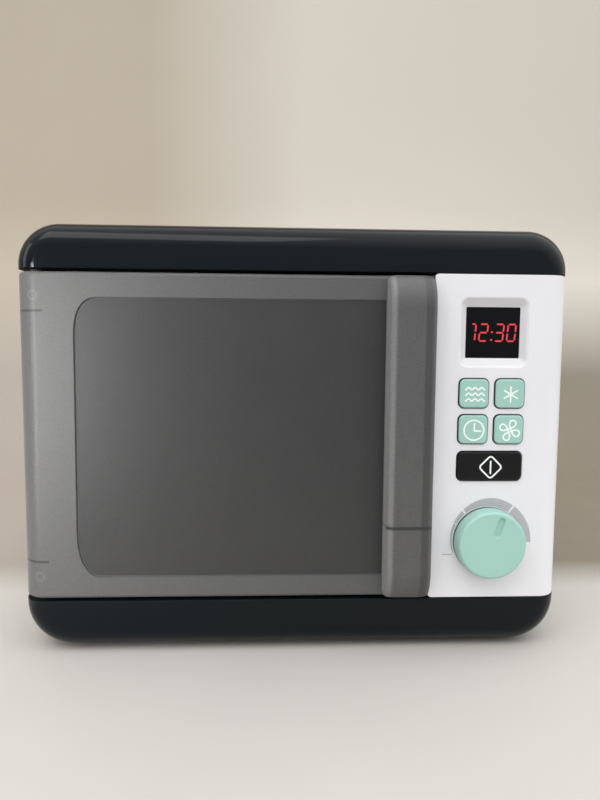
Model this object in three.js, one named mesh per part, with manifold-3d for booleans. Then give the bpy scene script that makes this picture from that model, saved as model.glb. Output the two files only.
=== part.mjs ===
// Toy microwave oven for pretend play, in millimetres, +Z up, with its front facing -Y.
// While it is built, x runs from the middle of the body, y runs back from the front of the covers,
// and z runs up from the seam between the base and the middle section.
import * as THREE from "three";
import { mergeVertices } from "three/addons/utils/BufferGeometryUtils.js";
import Module from "manifold-3d";

const wasm = await Module();
wasm.setup();

// Fits that are shared by all pieces
const seatGap = 0.3; // between two pieces that rest on each other
const runGap = 0.3; // round a pin or shaft that turns or slides
const overrun = 1; // how far a cut reaches past the face that it opens
const bite = 0.4; // how far a rib or boss grows into the wall that carries it
const weld = 1e-4; // points closer than this are one point

// Walls of the housing
const wall = 2.2;
const coverOverhang = 0.2; // the covers stand proud of the middle section
const edgeRadius = 12; // front and back edges of the covers, and upright corners of the body
const coverCorner = 22; // upper corners, seen from the front
const coverSkirt = 2; // straight side below the corner
const baseCorner = 25;
const baseSkirt = 2;
const bodyDepth = 165;

// Button column of the control panel, from left to right
const panelLeftMargin = 14.1;
const buttonWidth = 15.7;
const buttonGap = 3.55;
const panelRightMargin = 24.1;

// Button column, from the bottom up
const panelBottomMargin = 13.1;
const knobRadius = 18.6;
const knobTopGap = 14.4;
const startHeight = 15.6;
const startGap = 4.4;
const buttonHeight = 15.4;
const rowGap = 3.8;
const displayGap = 6.7;
const displayHeight = 35.6;
const panelTopMargin = 12.6;

// Display recess
const displayWidth = 36;
const displayShift = 0.6; // from the middle of the button column
const displayCorner = 4;
const displaySideSlope = 3.4; // how far each sloping side reaches inwards
const displayEndSlope = 4.3;
const displayDepth = 3;
const displayFrameWall = 1.8;
const displayPlateLap = 1.5;
const displayPlateThickness = 1.6;

// Push buttons
const buttonCorner = 2.8;
const buttonProud = 1.2;
const buttonEdge = 0.8; // rounding of the front edge
const buttonFit = 0.4; // gap between cap and hole
const collarOverhang = 1.2;
const collarThickness = 1.4;
const buttonTravel = 2;
const stemRadius = 2;
const stemEnd = 3; // how far the stem reaches past the switch plate
const springCoilRadius = 3.3;
const springWireRadius = 0.35;
const springTurns = 4;

// Switch plate behind the buttons
const springRoom = 7.3; // what a pressed button leaves to its spring
const plateThickness = 2;
const postRadius = 3;
const postGap = 0.6;
const plateRim = 0.5;

// Knob and its click work
const knobProud = 10;
const knobRim = 1.5; // rounding of the knob's front edge
const knobWall = 2;
const knobSkirtDraft = 0.5; // the side draws in towards the front
const hubRadius = 4;
const hubFlat = 1; // depth of the flat that drives the click wheel
const bearingRadius = 6.5;
const bearingLength = 4;
const pointerLength = 11;
const pointerWidth = 4.7;
const pointerDepth = 0.9;
const pointerDistance = 10.3; // from the axis to the middle of the pointer
const pointerAngle = 19; // degrees clockwise from straight up
const wheelRadius = 10;
const wheelTooth = 0.6;
const wheelThickness = 3;
const wheelTeeth = 24;
const washerRadius = 6;
const washerThickness = 1;
const leafThickness = 0.8;
const leafWidth = 2.4;
const leafNose = 2.2;
const leafReach = 16; // from the wheel's axis to the post of the leaf
const leafTail = 3;
const leafPostRadius = 2;
const leafEyeWall = 1.4;

// Door
const doorWidth = 216.5;
const doorSideGap = 0.8;
const doorGap = 1.2; // above and below the door
const doorWall = 2.4;
const doorRim = 2.2; // walls that run back from the edges
const doorEdge = 1.6; // rounding of the upper and lower front edges
const wrapDepth = 19.5; // how far the door reaches round the hinge corner
const hingeInset = 8.5; // hinge axis, from the side of the body
const hingeSetback = 10; // hinge axis, from the front of the door
const swingGap = 0.75;
const closeGap = 2.2; // between the closed door and the face behind it

// Window pressed into the door
const windowSideMargin = 29.9;
const windowTopMargin = 14.2;
const windowBottomMargin = 12.7;
const windowLean = 0.5; // the side leans in towards the top
const windowTopWidth = 12.5; // long upper corner
const windowTopHeight = 20;
const windowFootWidth = 13; // long lower corner
const windowFootHeight = 25;
const windowDepth = 0.8;

// Handle moulded on the door's free edge
const handleWidth = 24.5;
const handleStep = 0.2; // the handle stands back from the door's edges
const handleReach = 12;
const handleEndReach = 1.2;
const handleRamp = 17;
const handleEdge = 4.5;
const handleWall = 2.2;
const handleRibHeight = 38.5;
const handleRibThickness = 1.3;

// Hinge parts in the door's corner
const hingeBlockWidth = 11;
const hingeBlockDepth = 12;
const hingeRibDrop = 21.3; // from the seam to the rib that bounds the block
const hingeRibThickness = 1;
const hingeScrewDrop = 13.3; // from the seam to the screw boss
const hingeBossRadius = 2.6;
const hingeBossLength = 5;
const hingeScrewShift = 0.9; // screw boss, from the hinge axis
const pinRadius = 2.5;
const pinLength = 8; // inside the socket
const socketWall = 2.4;

// Catch on the door's free edge
const catchNubReach = 0.5;
const catchNubDepth = 1.5;
const catchNubSetback = 16.5; // from the front of the door
const catchHeight = 87; // above the lower seam
const catchNoseWidth = 6;
const catchNoseDepth = 3;
const catchNoseGap = 1; // between nose and nub
const catchLeafHeight = 24;
const catchLeafDepth = 9;
const catchLeafThickness = 1;
const catchSlotGap = 0.4;

// Oven cavity
const openingBottomMargin = 6;
const openingTopMargin = 11;
const openingHandleLap = 3; // how far the opening reaches behind the handle
const openingCorner = 8;
const linerLap = 1; // liner walls stand back from the edge of the opening
const linerWall = 2;
const linerSideGap = 6.2; // between liner and screw columns
const linerBackGap = 10;

// Turntable
const turntableGap = 3.5; // to the liner's front edge and back wall
const turntableThickness = 2;
const turntableRim = 4;
const turntableRimWidth = 2.4;
const turntableRidge = 1; // height of the ring that the plate runs on
const turntableRidgeRadius = 30;
const pegRadius = 5;
const pegNeckRadius = 3.1;
const pegHeadRadius = 4;
const pegHeadThickness = 1;
const clipRadius = 8;
const clipThickness = 1;

// Screws and the columns that take them
const screwRadius = 1.4;
const screwHeadRadius = 2.8;
const screwHeadHeight = 1.8;
const screwPoint = 1.5;
const screwFit = 0.3;
const columnRadius = 4;
const columnGap = 5.1; // between column and side wall
const columnSetback = 3.8; // between column and the wall in front of it
const columnRearGap = 10;
const columnHeight = 14;
const lipMargin = 2; // lip round a column
const postScrewDepth = 10; // base post above the screw head
const screwReach = 10; // length of a screw in the piece that it grips
const plateScrewReach = 6;

// Feet
const footRadius = 8;
const footProud = 2;
const footSeat = 1.5;
const footEdge = 0.8;
const footInset = 15; // from the start of the rounded edges

// Places that follow from the sizes above, from left to right
const blockWidth = 2 * buttonWidth + buttonGap;
const panelWidth = panelLeftMargin + blockWidth + panelRightMargin;
const midHalf = (doorWidth + doorSideGap + panelWidth) / 2;
const bodyHalf = midHalf + coverOverhang;
const doorLeft = -midHalf;
const doorRight = doorLeft + doorWidth;
const panelLeft = doorRight + doorSideGap;
const columnCentre = panelLeft + panelLeftMargin + blockWidth / 2;
const displayX = columnCentre + displayShift;
const handleLeft = doorRight - handleWidth;
const screwColumnX = midHalf - wall - columnGap - columnRadius;
const openingLeft = -screwColumnX + columnRadius + linerSideGap + linerWall + linerLap;
const openingRight = handleLeft + openingHandleLap;
const hingeX = doorLeft + hingeInset;

// Places from the bottom up
const knobZ = panelBottomMargin + knobRadius;
const startZ = knobZ + knobRadius + knobTopGap + startHeight / 2;
const lowerRowZ = startZ + startHeight / 2 + startGap + buttonHeight / 2;
const upperRowZ = lowerRowZ + buttonHeight + rowGap;
const displayZ = upperRowZ + buttonHeight / 2 + displayGap + displayHeight / 2;
const midHeight = displayZ + displayHeight / 2 + panelTopMargin;
const coverHeight = coverSkirt + coverCorner;
const baseHeight = baseSkirt + baseCorner;
const doorBottom = doorGap;
const doorTop = midHeight - doorGap;
const openingBottom = openingBottomMargin;
const openingTop = midHeight - openingTopMargin;
const floorTop = openingBottom - linerLap;
const floorBottom = floorTop - linerWall;

// Places from the front to the back
const faceY = coverOverhang;
const panelBack = faceY + wall;
const hingeY = faceY + hingeSetback;
const swingRadius = Math.hypot(hingeInset, wrapDepth - hingeSetback);
const bayY = hingeY + swingRadius + swingGap;
const frameBack = bayY + wall;
const doorBack = bayY - closeGap;
const cornerRadius = edgeRadius - coverOverhang;
const backY = bodyDepth - coverOverhang;
const columnFrontY = frameBack + columnSetback + columnRadius;
const columnRearY = backY - wall - columnRearGap - columnRadius;
const lipEndY = columnFrontY + columnRadius + lipMargin;
const returnEndY = bayY + edgeRadius / 2;
const linerFront = frameBack + seatGap;
const linerBack = backY - wall - linerBackGap;
const plateY = panelBack + seatGap + collarThickness + buttonTravel + springRoom;
const postHalf = blockWidth / 2 + collarOverhang + postGap + postRadius;

// Fineness of the round forms, as numbers of steps
const cornerSteps = 5;
const edgeSteps = 4;
const smallSteps = 3;
const roundSides = 32;
const boreSides = 16;
const screwSides = 8;
const wireSides = 5;
const coilSteps = 8; // along one turn of a spring
const toothSteps = 4;

const colours = {
  anthracite: ["#1f262b", 0.22],
  white: ["#ededf0", 0.3],
  smoked: ["#6f6e6d", 0.35],
  mint: ["#a6d4c2", 0.4],
  black: ["#1f1f1f", 0.4],
  display: ["#101012", 0.25],
  cavity: ["#4a4b4d", 0.5],
  natural: ["#e2e0d8", 0.5],
  rubber: ["#2a2a2b", 0.85],
  steel: ["#b9bcc0", 0.3, 1],
};

function material(kind) {
  const [color, roughness, metalness = 0] = colours[kind];
  return new THREE.MeshStandardMaterial({ color, roughness, metalness });
}

// A closed geometry as a solid that can be cut and joined.
function solid(geometry) {
  geometry.deleteAttribute("normal");
  geometry.deleteAttribute("uv");
  const merged = mergeVertices(geometry, weld);
  const vertProperties = new Float32Array(merged.attributes.position.array);
  const triVerts = new Uint32Array(merged.index.array);
  return new wasm.Manifold(new wasm.Mesh({ numProp: 3, vertProperties, triVerts }));
}

function join(...solids) {
  return solids.reduce((whole, piece) => whole.add(piece));
}

function cut(body, ...tools) {
  return tools.reduce((rest, tool) => rest.subtract(tool), body);
}

// A block between two corners.
function block(x0, x1, y0, y1, z0, z1) {
  const geometry = new THREE.BoxGeometry(Math.abs(x1 - x0), Math.abs(y1 - y0), Math.abs(z1 - z0));
  geometry.translate((x0 + x1) / 2, (y0 + y1) / 2, (z0 + z1) / 2);
  return solid(geometry);
}

// A profile of [radius, place] points turned about an upright axis, or about one that runs back.
function turned(profile, x, y, z, axis = "z", sides = roundSides) {
  const points = profile.map(([radius, place]) => new THREE.Vector2(radius, place));
  const geometry = new THREE.LatheGeometry(points, sides);
  if (axis === "z") geometry.rotateX(Math.PI / 2);
  geometry.translate(x, y, z);
  return outward(geometry);
}

// Gives a closed geometry with its faces turned outwards, whichever way its outline ran.
function outward(geometry) {
  const made = solid(geometry);
  if (made.volume() > 0) return made;
  const index = geometry.index.array;
  for (let i = 0; i < index.length; i += 3) {
    const first = index[i];
    index[i] = index[i + 1];
    index[i + 1] = first;
  }
  return solid(geometry);
}

// An upright rod, and a rod that runs back.
function rod(radius, x, y, z0, z1, sides = boreSides) {
  const geometry = new THREE.CylinderGeometry(radius, radius, Math.abs(z1 - z0), sides);
  geometry.rotateX(Math.PI / 2).translate(x, y, (z0 + z1) / 2);
  return solid(geometry);
}

function rodBack(radius, x, z, y0, y1, sides = boreSides) {
  const geometry = new THREE.CylinderGeometry(radius, radius, Math.abs(y1 - y0), sides);
  geometry.translate(x, (y0 + y1) / 2, z);
  return solid(geometry);
}

// A hole that a screw passes or grips, upright and running back.
function screwBore(x, y, z0, z1) {
  return rod(screwHole, x, y, z0, z1, screwSides);
}

function screwBoreBack(x, z, y0, y1) {
  return rodBack(screwHole, x, z, y0, y1, screwSides);
}

// An outline seen from above, raised from z0 to z1.
function raise(outline, z0, z1) {
  const settings = { depth: z1 - z0, bevelEnabled: false, curveSegments: cornerSteps };
  const geometry = new THREE.ExtrudeGeometry(outline, settings);
  geometry.translate(0, 0, z0);
  return solid(geometry);
}

// An outline seen from the front, carried back from y0 to y1.
function carryBack(outline, y0, y1) {
  const settings = { depth: y1 - y0, bevelEnabled: false, curveSegments: cornerSteps };
  const geometry = new THREE.ExtrudeGeometry(outline, settings);
  geometry.rotateX(Math.PI / 2).translate(0, y1, 0);
  return solid(geometry);
}

// A closed skin over rings of points that all have as many points.
function loft(rings) {
  const count = rings[0].length;
  const last = (rings.length - 1) * count;
  const index = [];
  for (let start = 0; start < last; start += count)
    for (let i = 0; i < count; i++) {
      const a = start + i;
      const b = start + ((i + 1) % count);
      index.push(a, b, b + count, a, b + count, a + count);
    }
  for (let i = 1; i + 1 < count; i++) index.push(0, i + 1, i, last, last + i, last + i + 1);
  const geometry = new THREE.BufferGeometry().setFromPoints(rings.flat());
  geometry.setIndex(index);
  return outward(geometry);
}

// A rounded rectangle seen from the front, as an outline and as a ring of points.
function rectangle(x, z, width, height, corner) {
  const points = rectanglePoints(x, z, width, height, corner);
  return new THREE.Shape(points.map(([px, pz]) => new THREE.Vector2(px, pz)));
}

function rectangleRing(x, z, width, height, corner, y) {
  const points = rectanglePoints(x, z, width, height, corner);
  return points.map(([px, pz]) => new THREE.Vector3(px, y, pz));
}

function rectanglePoints(x, z, width, height, corner) {
  const points = [];
  for (let quarter = 0; quarter < 4; quarter++) {
    const side = quarter === 0 || quarter === 3 ? 1 : -1;
    const level = quarter < 2 ? 1 : -1;
    for (let k = 0; k <= smallSteps; k++) {
      const angle = ((quarter + k / smallSteps) * Math.PI) / 2;
      points.push([
        x + side * (width / 2 - corner) + corner * Math.cos(angle),
        z + level * (height / 2 - corner) + corner * Math.sin(angle),
      ]);
    }
  }
  return points;
}

// Steps along a quarter-round edge: how far along it lies and how far it is drawn in.
function roundedEdge(radius, steps) {
  return Array.from({ length: steps + 1 }, (_, k) => {
    const angle = ((k / steps) * Math.PI) / 2;
    return [radius * (1 - Math.cos(angle)), radius * (1 - Math.sin(angle))];
  });
}

// A cover as one rounded form. Seen from the front it is flat at the seam and has two round corners,
// and its front and back edges are rounded by drawing that outline in. It rises where up is 1.
function dome(half, skirt, corner, edge, front, back, foot, up, seam) {
  const steps = roundedEdge(edge, edgeSteps);
  const places = steps.map(([along, drawn]) => [front + along, drawn]);
  places.push(...steps.map(([along, drawn]) => [back - along, drawn]).reverse());
  return loft(
    places.map(([y, drawn]) => {
      const ring = [new THREE.Vector3(drawn - half, y, seam - up * foot)];
      for (const side of [-1, 1])
        for (let k = 0; k <= cornerSteps; k++) {
          const share = side < 0 ? k / cornerSteps : 1 - k / cornerSteps;
          const angle = (share * Math.PI) / 2;
          const x = half - corner + (corner - drawn) * Math.cos(angle);
          const height = skirt + (corner - drawn) * Math.sin(angle);
          ring.push(new THREE.Vector3(side * x, y, seam + up * height));
        }
      ring.push(new THREE.Vector3(half - drawn, y, seam - up * foot));
      return ring;
    }),
  );
}

const coverSeam = midHeight + seatGap;
const baseSeam = -seatGap;
const baseBottom = baseSeam - baseHeight;
const footBottom = baseBottom - footProud;
const screwHole = screwRadius + screwFit;
const columnPlaces = [
  [-screwColumnX, columnFrontY],
  [screwColumnX, columnFrontY],
  [-screwColumnX, columnRearY],
  [screwColumnX, columnRearY],
];

// The form that the base and the top cover share: a hollow shell with a deck over the door,
// a socket for the hinge pin and four posts for screws.
function coverShell(skirt, corner, up, seam) {
  const top = seam + up * (skirt + corner);
  const outer = dome(bodyHalf, skirt, corner, edgeRadius, 0, bodyDepth, 0, up, seam);
  const inner = dome(
    bodyHalf - wall, skirt, corner - wall, edgeRadius - wall,
    wall, bodyDepth - wall, overrun, up, seam,
  );
  const deck = block(-bodyHalf, bodyHalf, 0, frameBack, seam, seam + up * wall);
  const socketEnd = seam + up * (pinLength + socketWall);
  const socket = rod(pinRadius + runGap + socketWall, hingeX, hingeY, seam, socketEnd);
  const posts = columnPlaces.map(([x, y]) => rod(columnRadius, x, y, seam, top));
  const inside = join(deck, socket, ...posts).intersect(outer);
  const pinEnd = seam + up * (pinLength + runGap);
  const pinHole = rod(pinRadius + runGap, hingeX, hingeY, seam - up * overrun, pinEnd);
  return cut(join(cut(outer, inner), inside), pinHole);
}

function topCover() {
  const holeEnd = coverSeam + screwReach + overrun;
  const holes = columnPlaces.map(([x, y]) => screwBore(x, y, coverSeam - overrun, holeEnd));
  return cut(coverShell(coverSkirt, coverCorner, 1, coverSeam), ...holes);
}

function baseTray() {
  const headSeat = baseSeam - postScrewDepth;
  const tools = [];
  for (const [x, y] of columnPlaces) {
    tools.push(screwBore(x, y, baseBottom - overrun, overrun));
    tools.push(rod(screwHeadRadius + screwFit, x, y, baseBottom - overrun, headSeat));
  }
  for (const [x, y] of footPlaces()) {
    tools.push(rod(footRadius + seatGap, x, y, baseBottom - overrun, baseBottom + footSeat));
  }
  const shell = coverShell(baseSkirt, baseCorner, -1, baseSeam);
  return cut(shell, ...tools);
}

function footPlaces() {
  const x = bodyHalf - baseCorner - footInset;
  const front = edgeRadius + footInset;
  const rear = bodyDepth - front;
  return [[-x, front], [x, front], [-x, rear], [x, rear]];
}

function foot([x, y]) {
  const seat = baseBottom + footSeat - seatGap;
  const profile = [
    [0, footBottom],
    [footRadius - footEdge, footBottom],
    [footRadius, footBottom + footEdge],
    [footRadius, seat],
    [0, seat],
  ];
  return turned(profile, x, y, 0, "z", boreSides);
}

// A pan-head screw as a profile from the head to the point.
function screwProfile(length) {
  return [
    [0, 0],
    [screwHeadRadius, 0],
    [screwHeadRadius, screwHeadHeight],
    [screwRadius, screwHeadHeight],
    [screwRadius, screwHeadHeight + length - screwPoint],
    [0, screwHeadHeight + length],
  ];
}

// A screw that points up from under its head seat, and one that points to the front.
function screwUp(x, y, headSeat, length) {
  return turned(screwProfile(length), x, y, headSeat - seatGap - screwHeadHeight, "z", screwSides);
}

function screwForward(x, z, headSeat, length) {
  const back = headSeat + seatGap + screwHeadHeight;
  const profile = screwProfile(length).map(([radius, place]) => [radius, -place]);
  return turned(profile, x, back, z, "y", screwSides);
}

function baseScrew([x, y]) {
  return screwUp(x, y, baseSeam - postScrewDepth, postScrewDepth + screwReach);
}

function coverScrew([x, y]) {
  return screwUp(x, y, midHeight - wall, wall + screwReach);
}

// Lips along the upper and lower edges, with a screw column on the lower one.
function screwLips(x0, x1, y0, y1, column) {
  const [x, y] = column;
  const lower = block(x0, x1, y0, y1, 0, wall);
  const upper = block(x0, x1, y0, y1, midHeight - wall, midHeight);
  return [lower, upper, rod(columnRadius, x, y, 0, columnHeight)];
}

function screwLipHoles([x, y]) {
  const lower = screwBore(x, y, -overrun, screwReach + overrun);
  const upper = screwBore(x, y, midHeight - wall - overrun, midHeight + overrun);
  return [lower, upper];
}

// Where each button stands and how large its cap is
const buttonPitch = (buttonWidth + buttonGap) / 2;
const buttons = {
  waves: [columnCentre - buttonPitch, upperRowZ, buttonWidth, buttonHeight],
  star: [columnCentre + buttonPitch, upperRowZ, buttonWidth, buttonHeight],
  clock: [columnCentre - buttonPitch, lowerRowZ, buttonWidth, buttonHeight],
  fan: [columnCentre + buttonPitch, lowerRowZ, buttonWidth, buttonHeight],
  start: [columnCentre, startZ, blockWidth, startHeight],
};
const postTopZ = upperRowZ + buttonHeight / 2 - postRadius;
const postBottomZ = startZ - startHeight / 2 + postRadius;
const postPlaces = [
  [columnCentre - postHalf, postTopZ],
  [columnCentre + postHalf, postTopZ],
  [columnCentre - postHalf, postBottomZ],
  [columnCentre + postHalf, postBottomZ],
];

// Places of the click work behind the knob, from front to back, and of its leaf spring
const wheelFront = panelBack + bearingLength + seatGap;
const wheelBack = wheelFront + wheelThickness;
const shaftEnd = wheelBack - seatGap;
const leafTip = knobZ + wheelRadius - wheelTooth + seatGap;
const leafZ = leafTip + leafNose + leafThickness / 2;
const leafPostX = columnCentre - leafReach;

// Places of the catch
const nubFront = faceY + catchNubSetback;
const noseBack = nubFront - catchNoseGap;
const noseFront = noseBack - catchNoseDepth;

// White moulding that holds the control panel, the step beside the door and the face behind it.
function frontFascia() {
  const frameLeft = doorLeft + wall + seatGap;
  const roundX = midHalf - cornerRadius;
  const roundY = faceY + cornerRadius;
  const plan = new THREE.Shape();
  plan.moveTo(panelLeft, faceY);
  plan.lineTo(roundX, faceY);
  plan.absarc(roundX, roundY, cornerRadius, -Math.PI / 2, 0, false);
  plan.lineTo(midHalf, returnEndY);
  plan.lineTo(midHalf - wall, returnEndY);
  plan.absarc(roundX, roundY, cornerRadius - wall, 0, -Math.PI / 2, true);
  plan.lineTo(panelLeft + wall, panelBack);
  plan.lineTo(panelLeft + wall, frameBack);
  plan.lineTo(frameLeft, frameBack);
  plan.lineTo(frameLeft, bayY);
  plan.lineTo(panelLeft, bayY);
  plan.closePath();

  const lipReach = columnRadius + lipMargin;
  const rightLip = midHalf - wall - seatGap;
  const added = [
    ...screwLips(frameLeft, lipReach - screwColumnX, frameBack - bite, lipEndY, columnPlaces[0]),
    ...screwLips(screwColumnX - lipReach, rightLip, roundY, lipEndY, columnPlaces[1]),
    block(rightLip - bite, midHalf - wall + bite, roundY, returnEndY - seatGap, 0, wall),
    block(rightLip - bite, midHalf - wall + bite, roundY, returnEndY - seatGap, midHeight - wall, midHeight),
    ...postPlaces.map(([x, z]) => rodBack(postRadius, x, z, panelBack - bite, plateY - seatGap)),
    rodBack(bearingRadius, columnCentre, knobZ, panelBack - bite, panelBack + bearingLength, roundSides),
    rodBack(leafPostRadius, leafPostX, leafZ, panelBack - bite, wheelBack),
    displayFrame(),
  ];
  const removed = [
    openingTool(),
    displayTool(),
    ...Object.values(buttons).map(buttonHole),
    ...postPlaces.map(([x, z]) => screwBoreBack(x, z, plateY - seatGap - plateScrewReach, plateY)),
    rodBack(hubRadius + runGap, columnCentre, knobZ, faceY - overrun, panelBack + bearingLength + overrun),
    ...screwLipHoles(columnPlaces[0]),
    ...screwLipHoles(columnPlaces[1]),
    catchSlot(),
  ];
  return cut(join(raise(plan, 0, midHeight), ...added), ...removed);
}

function openingTool() {
  const x = (openingLeft + openingRight) / 2;
  const z = (openingBottom + openingTop) / 2;
  const width = openingRight - openingLeft;
  const height = openingTop - openingBottom;
  return carryBack(rectangle(x, z, width, height, openingCorner), bayY - overrun, frameBack + overrun);
}

function buttonHole([x, z, width, height]) {
  const grown = 2 * buttonFit;
  const outline = rectangle(x, z, width + grown, height + grown, buttonCorner + buttonFit);
  return carryBack(outline, faceY - overrun, panelBack + overrun);
}

function catchSlot() {
  const half = catchNoseWidth / 2 + catchSlotGap;
  return block(
    panelLeft - overrun, panelLeft + wall + overrun,
    noseFront - catchSlotGap, noseBack + catchSlotGap, catchHeight - half, catchHeight + half,
  );
}

// Sizes of the display recess at its bottom, and of the plate that closes it from behind
const displayFloorWidth = displayWidth - 2 * displaySideSlope;
const displayFloorHeight = displayHeight - 2 * displayEndSlope;
const displayFloorY = faceY + displayDepth;
const displayPlateBack = displayFloorY + seatGap + displayPlateThickness;

function displayFrame() {
  const width = displayFloorWidth + 2 * (displayPlateLap + displayFrameWall);
  const height = displayFloorHeight + 2 * (displayPlateLap + displayFrameWall);
  const outline = rectangle(displayX, displayZ, width, height, displayCorner / 2);
  return carryBack(outline, panelBack - bite, displayPlateBack);
}

function displayTool() {
  const reach = overrun / displayDepth;
  const ring = (share, corner, y) =>
    rectangleRing(
      displayX, displayZ, displayWidth - 2 * share * displaySideSlope,
      displayHeight - 2 * share * displayEndSlope, corner, y,
    );
  const slope = loft([
    ring(-reach, displayCorner, faceY - overrun),
    ring(1, displayCorner / 2, displayFloorY),
  ]);
  const pocket = rectangle(
    displayX, displayZ, displayFloorWidth + 2 * displayPlateLap,
    displayFloorHeight + 2 * displayPlateLap, displayCorner / 2,
  );
  return join(slope, carryBack(pocket, displayFloorY, displayPlateBack + overrun));
}

function displayPlate() {
  const grown = 2 * (displayPlateLap - seatGap);
  const outline = rectangle(
    displayX, displayZ, displayFloorWidth + grown, displayFloorHeight + grown, displayCorner / 2,
  );
  return carryBack(outline, displayFloorY + seatGap, displayPlateBack);
}

// White moulding round the left side, the back and the right side.
function rearShell() {
  const innerSide = hingeInset - wall;
  const swing = swingRadius + swingGap;
  const startLeft = hingeY + Math.sqrt(swing * swing - innerSide * innerSide);
  const startRight = returnEndY + seatGap;
  const roundX = midHalf - cornerRadius;
  const roundY = backY - cornerRadius;
  const inner = cornerRadius - wall;
  const plan = new THREE.Shape();
  plan.moveTo(-midHalf, startLeft);
  plan.lineTo(-midHalf, roundY);
  plan.absarc(-roundX, roundY, cornerRadius, Math.PI, Math.PI / 2, true);
  plan.absarc(roundX, roundY, cornerRadius, Math.PI / 2, 0, true);
  plan.lineTo(midHalf, startRight);
  plan.lineTo(midHalf - wall, startRight);
  plan.absarc(roundX, roundY, inner, 0, Math.PI / 2, false);
  plan.absarc(-roundX, roundY, inner, Math.PI / 2, Math.PI, false);
  plan.lineTo(wall - midHalf, startLeft);
  plan.closePath();

  const side = midHalf - wall + bite;
  const lipInner = screwColumnX - columnRadius - lipMargin;
  const lipStart = lipEndY + seatGap;
  const lipBack = roundY + inner / 2;
  const lips = [
    ...screwLips(-side, -lipInner, lipStart, lipBack, columnPlaces[2]),
    ...screwLips(lipInner, side, lipStart, lipBack, columnPlaces[3]),
  ];
  const holes = [...screwLipHoles(columnPlaces[2]), ...screwLipHoles(columnPlaces[3])];
  return cut(join(raise(plan, 0, midHeight), ...lips), ...holes);
}

// Places of the turntable, whose peg runs in the cavity floor
const linerLeft = openingLeft - linerLap;
const linerRight = openingRight + linerLap;
const linerTop = openingTop + linerLap;
const tableX = (linerLeft + linerRight) / 2;
const tableY = (linerFront + linerBack - linerWall) / 2;
const tableRadius = (linerBack - linerWall - linerFront) / 2 - turntableGap;
const tableBottom = floorTop + turntableRidge + seatGap;
const tableTop = tableBottom + turntableThickness;
const clipTop = floorBottom - 2 * seatGap;
const clipBottom = clipTop - clipThickness;

function cavityLiner() {
  const x = (linerLeft + linerRight) / 2;
  const z = (floorTop + linerTop) / 2;
  const width = linerRight - linerLeft;
  const height = linerTop - floorTop;
  const grown = 2 * linerWall;
  const outer = rectangle(x, z, width + grown, height + grown, openingCorner + linerWall);
  const inner = rectangle(x, z, width, height, openingCorner);
  const tub = cut(
    carryBack(outer, linerFront, linerBack),
    carryBack(inner, linerFront - overrun, linerBack - linerWall),
  );
  const ridgeInner = turntableRidgeRadius - turntableRidge;
  const ridgeOuter = turntableRidgeRadius + turntableRidge;
  const ridge = turned(
    [
      [ridgeInner, floorTop - bite],
      [ridgeOuter, floorTop - bite],
      [ridgeOuter, floorTop + turntableRidge],
      [ridgeInner, floorTop + turntableRidge],
      [ridgeInner, floorTop - bite],
    ],
    tableX, tableY, 0,
  );
  const under = floorBottom - overrun;
  const pegHole = rod(pegRadius + runGap, tableX, tableY, under, floorTop + overrun, roundSides);
  return cut(join(tub, ridge), pegHole);
}

function turntable() {
  const neckTop = clipTop + seatGap;
  const headTop = clipBottom - seatGap;
  const profile = [
    [0, headTop - pegHeadThickness],
    [pegHeadRadius, headTop - pegHeadThickness],
    [pegHeadRadius, headTop],
    [pegNeckRadius, headTop],
    [pegNeckRadius, neckTop],
    [pegRadius, neckTop],
    [pegRadius, tableBottom],
    [tableRadius - turntableRimWidth, tableBottom],
    [tableRadius, tableBottom + turntableThickness],
    [tableRadius, tableTop + turntableRim],
    [tableRadius - turntableRimWidth / 2, tableTop + turntableRim],
    [tableRadius - turntableRimWidth, tableTop],
    [0, tableTop],
  ];
  return turned(profile, tableX, tableY, 0);
}

function turntableClip() {
  const inner = pegNeckRadius + seatGap;
  const profile = [
    [inner, clipBottom],
    [clipRadius, clipBottom],
    [clipRadius, clipTop],
    [inner, clipTop],
    [inner, clipBottom],
  ];
  return turned(profile, tableX, tableY, 0, "z", boreSides);
}

// A push button: a cap with a rounded front edge, a collar that keeps it in its hole and a stem.
function button([x, z, width, height]) {
  const front = faceY - buttonProud;
  const collarFront = panelBack + seatGap;
  const collarBack = collarFront + collarThickness;
  const rings = roundedEdge(buttonEdge, smallSteps).map(([along, drawn]) =>
    rectangleRing(x, z, width - 2 * drawn, height - 2 * drawn, buttonCorner - drawn, front + along),
  );
  rings.push(rectangleRing(x, z, width, height, buttonCorner, collarFront + bite));
  const grown = 2 * collarOverhang;
  const collar = rectangle(x, z, width + grown, height + grown, buttonCorner + collarOverhang);
  const stem = rodBack(stemRadius, x, z, collarBack - bite, plateY + plateThickness + stemEnd);
  return join(loft(rings), carryBack(collar, collarFront, collarBack), stem);
}

class Coil extends THREE.Curve {
  constructor(x, z, start, end) {
    super();
    Object.assign(this, { x, z, start, end });
  }
  getPoint(share, target = new THREE.Vector3()) {
    const angle = 2 * Math.PI * springTurns * share;
    const y = this.start + share * (this.end - this.start);
    const x = this.x + springCoilRadius * Math.cos(angle);
    return target.set(x, y, this.z + springCoilRadius * Math.sin(angle));
  }
}

function buttonSpring([x, z]) {
  const room = seatGap + springWireRadius;
  const start = panelBack + seatGap + collarThickness + room;
  const corners = Array.from({ length: wireSides }, (_, k) => {
    const angle = (2 * Math.PI * k) / wireSides;
    return new THREE.Vector2(springWireRadius * Math.cos(angle), springWireRadius * Math.sin(angle));
  });
  const wire = new THREE.Shape(corners);
  const settings = {
    steps: springTurns * coilSteps,
    bevelEnabled: false,
    extrudePath: new Coil(x, z, start, plateY - room),
  };
  return solid(new THREE.ExtrudeGeometry(wire, settings));
}

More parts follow.
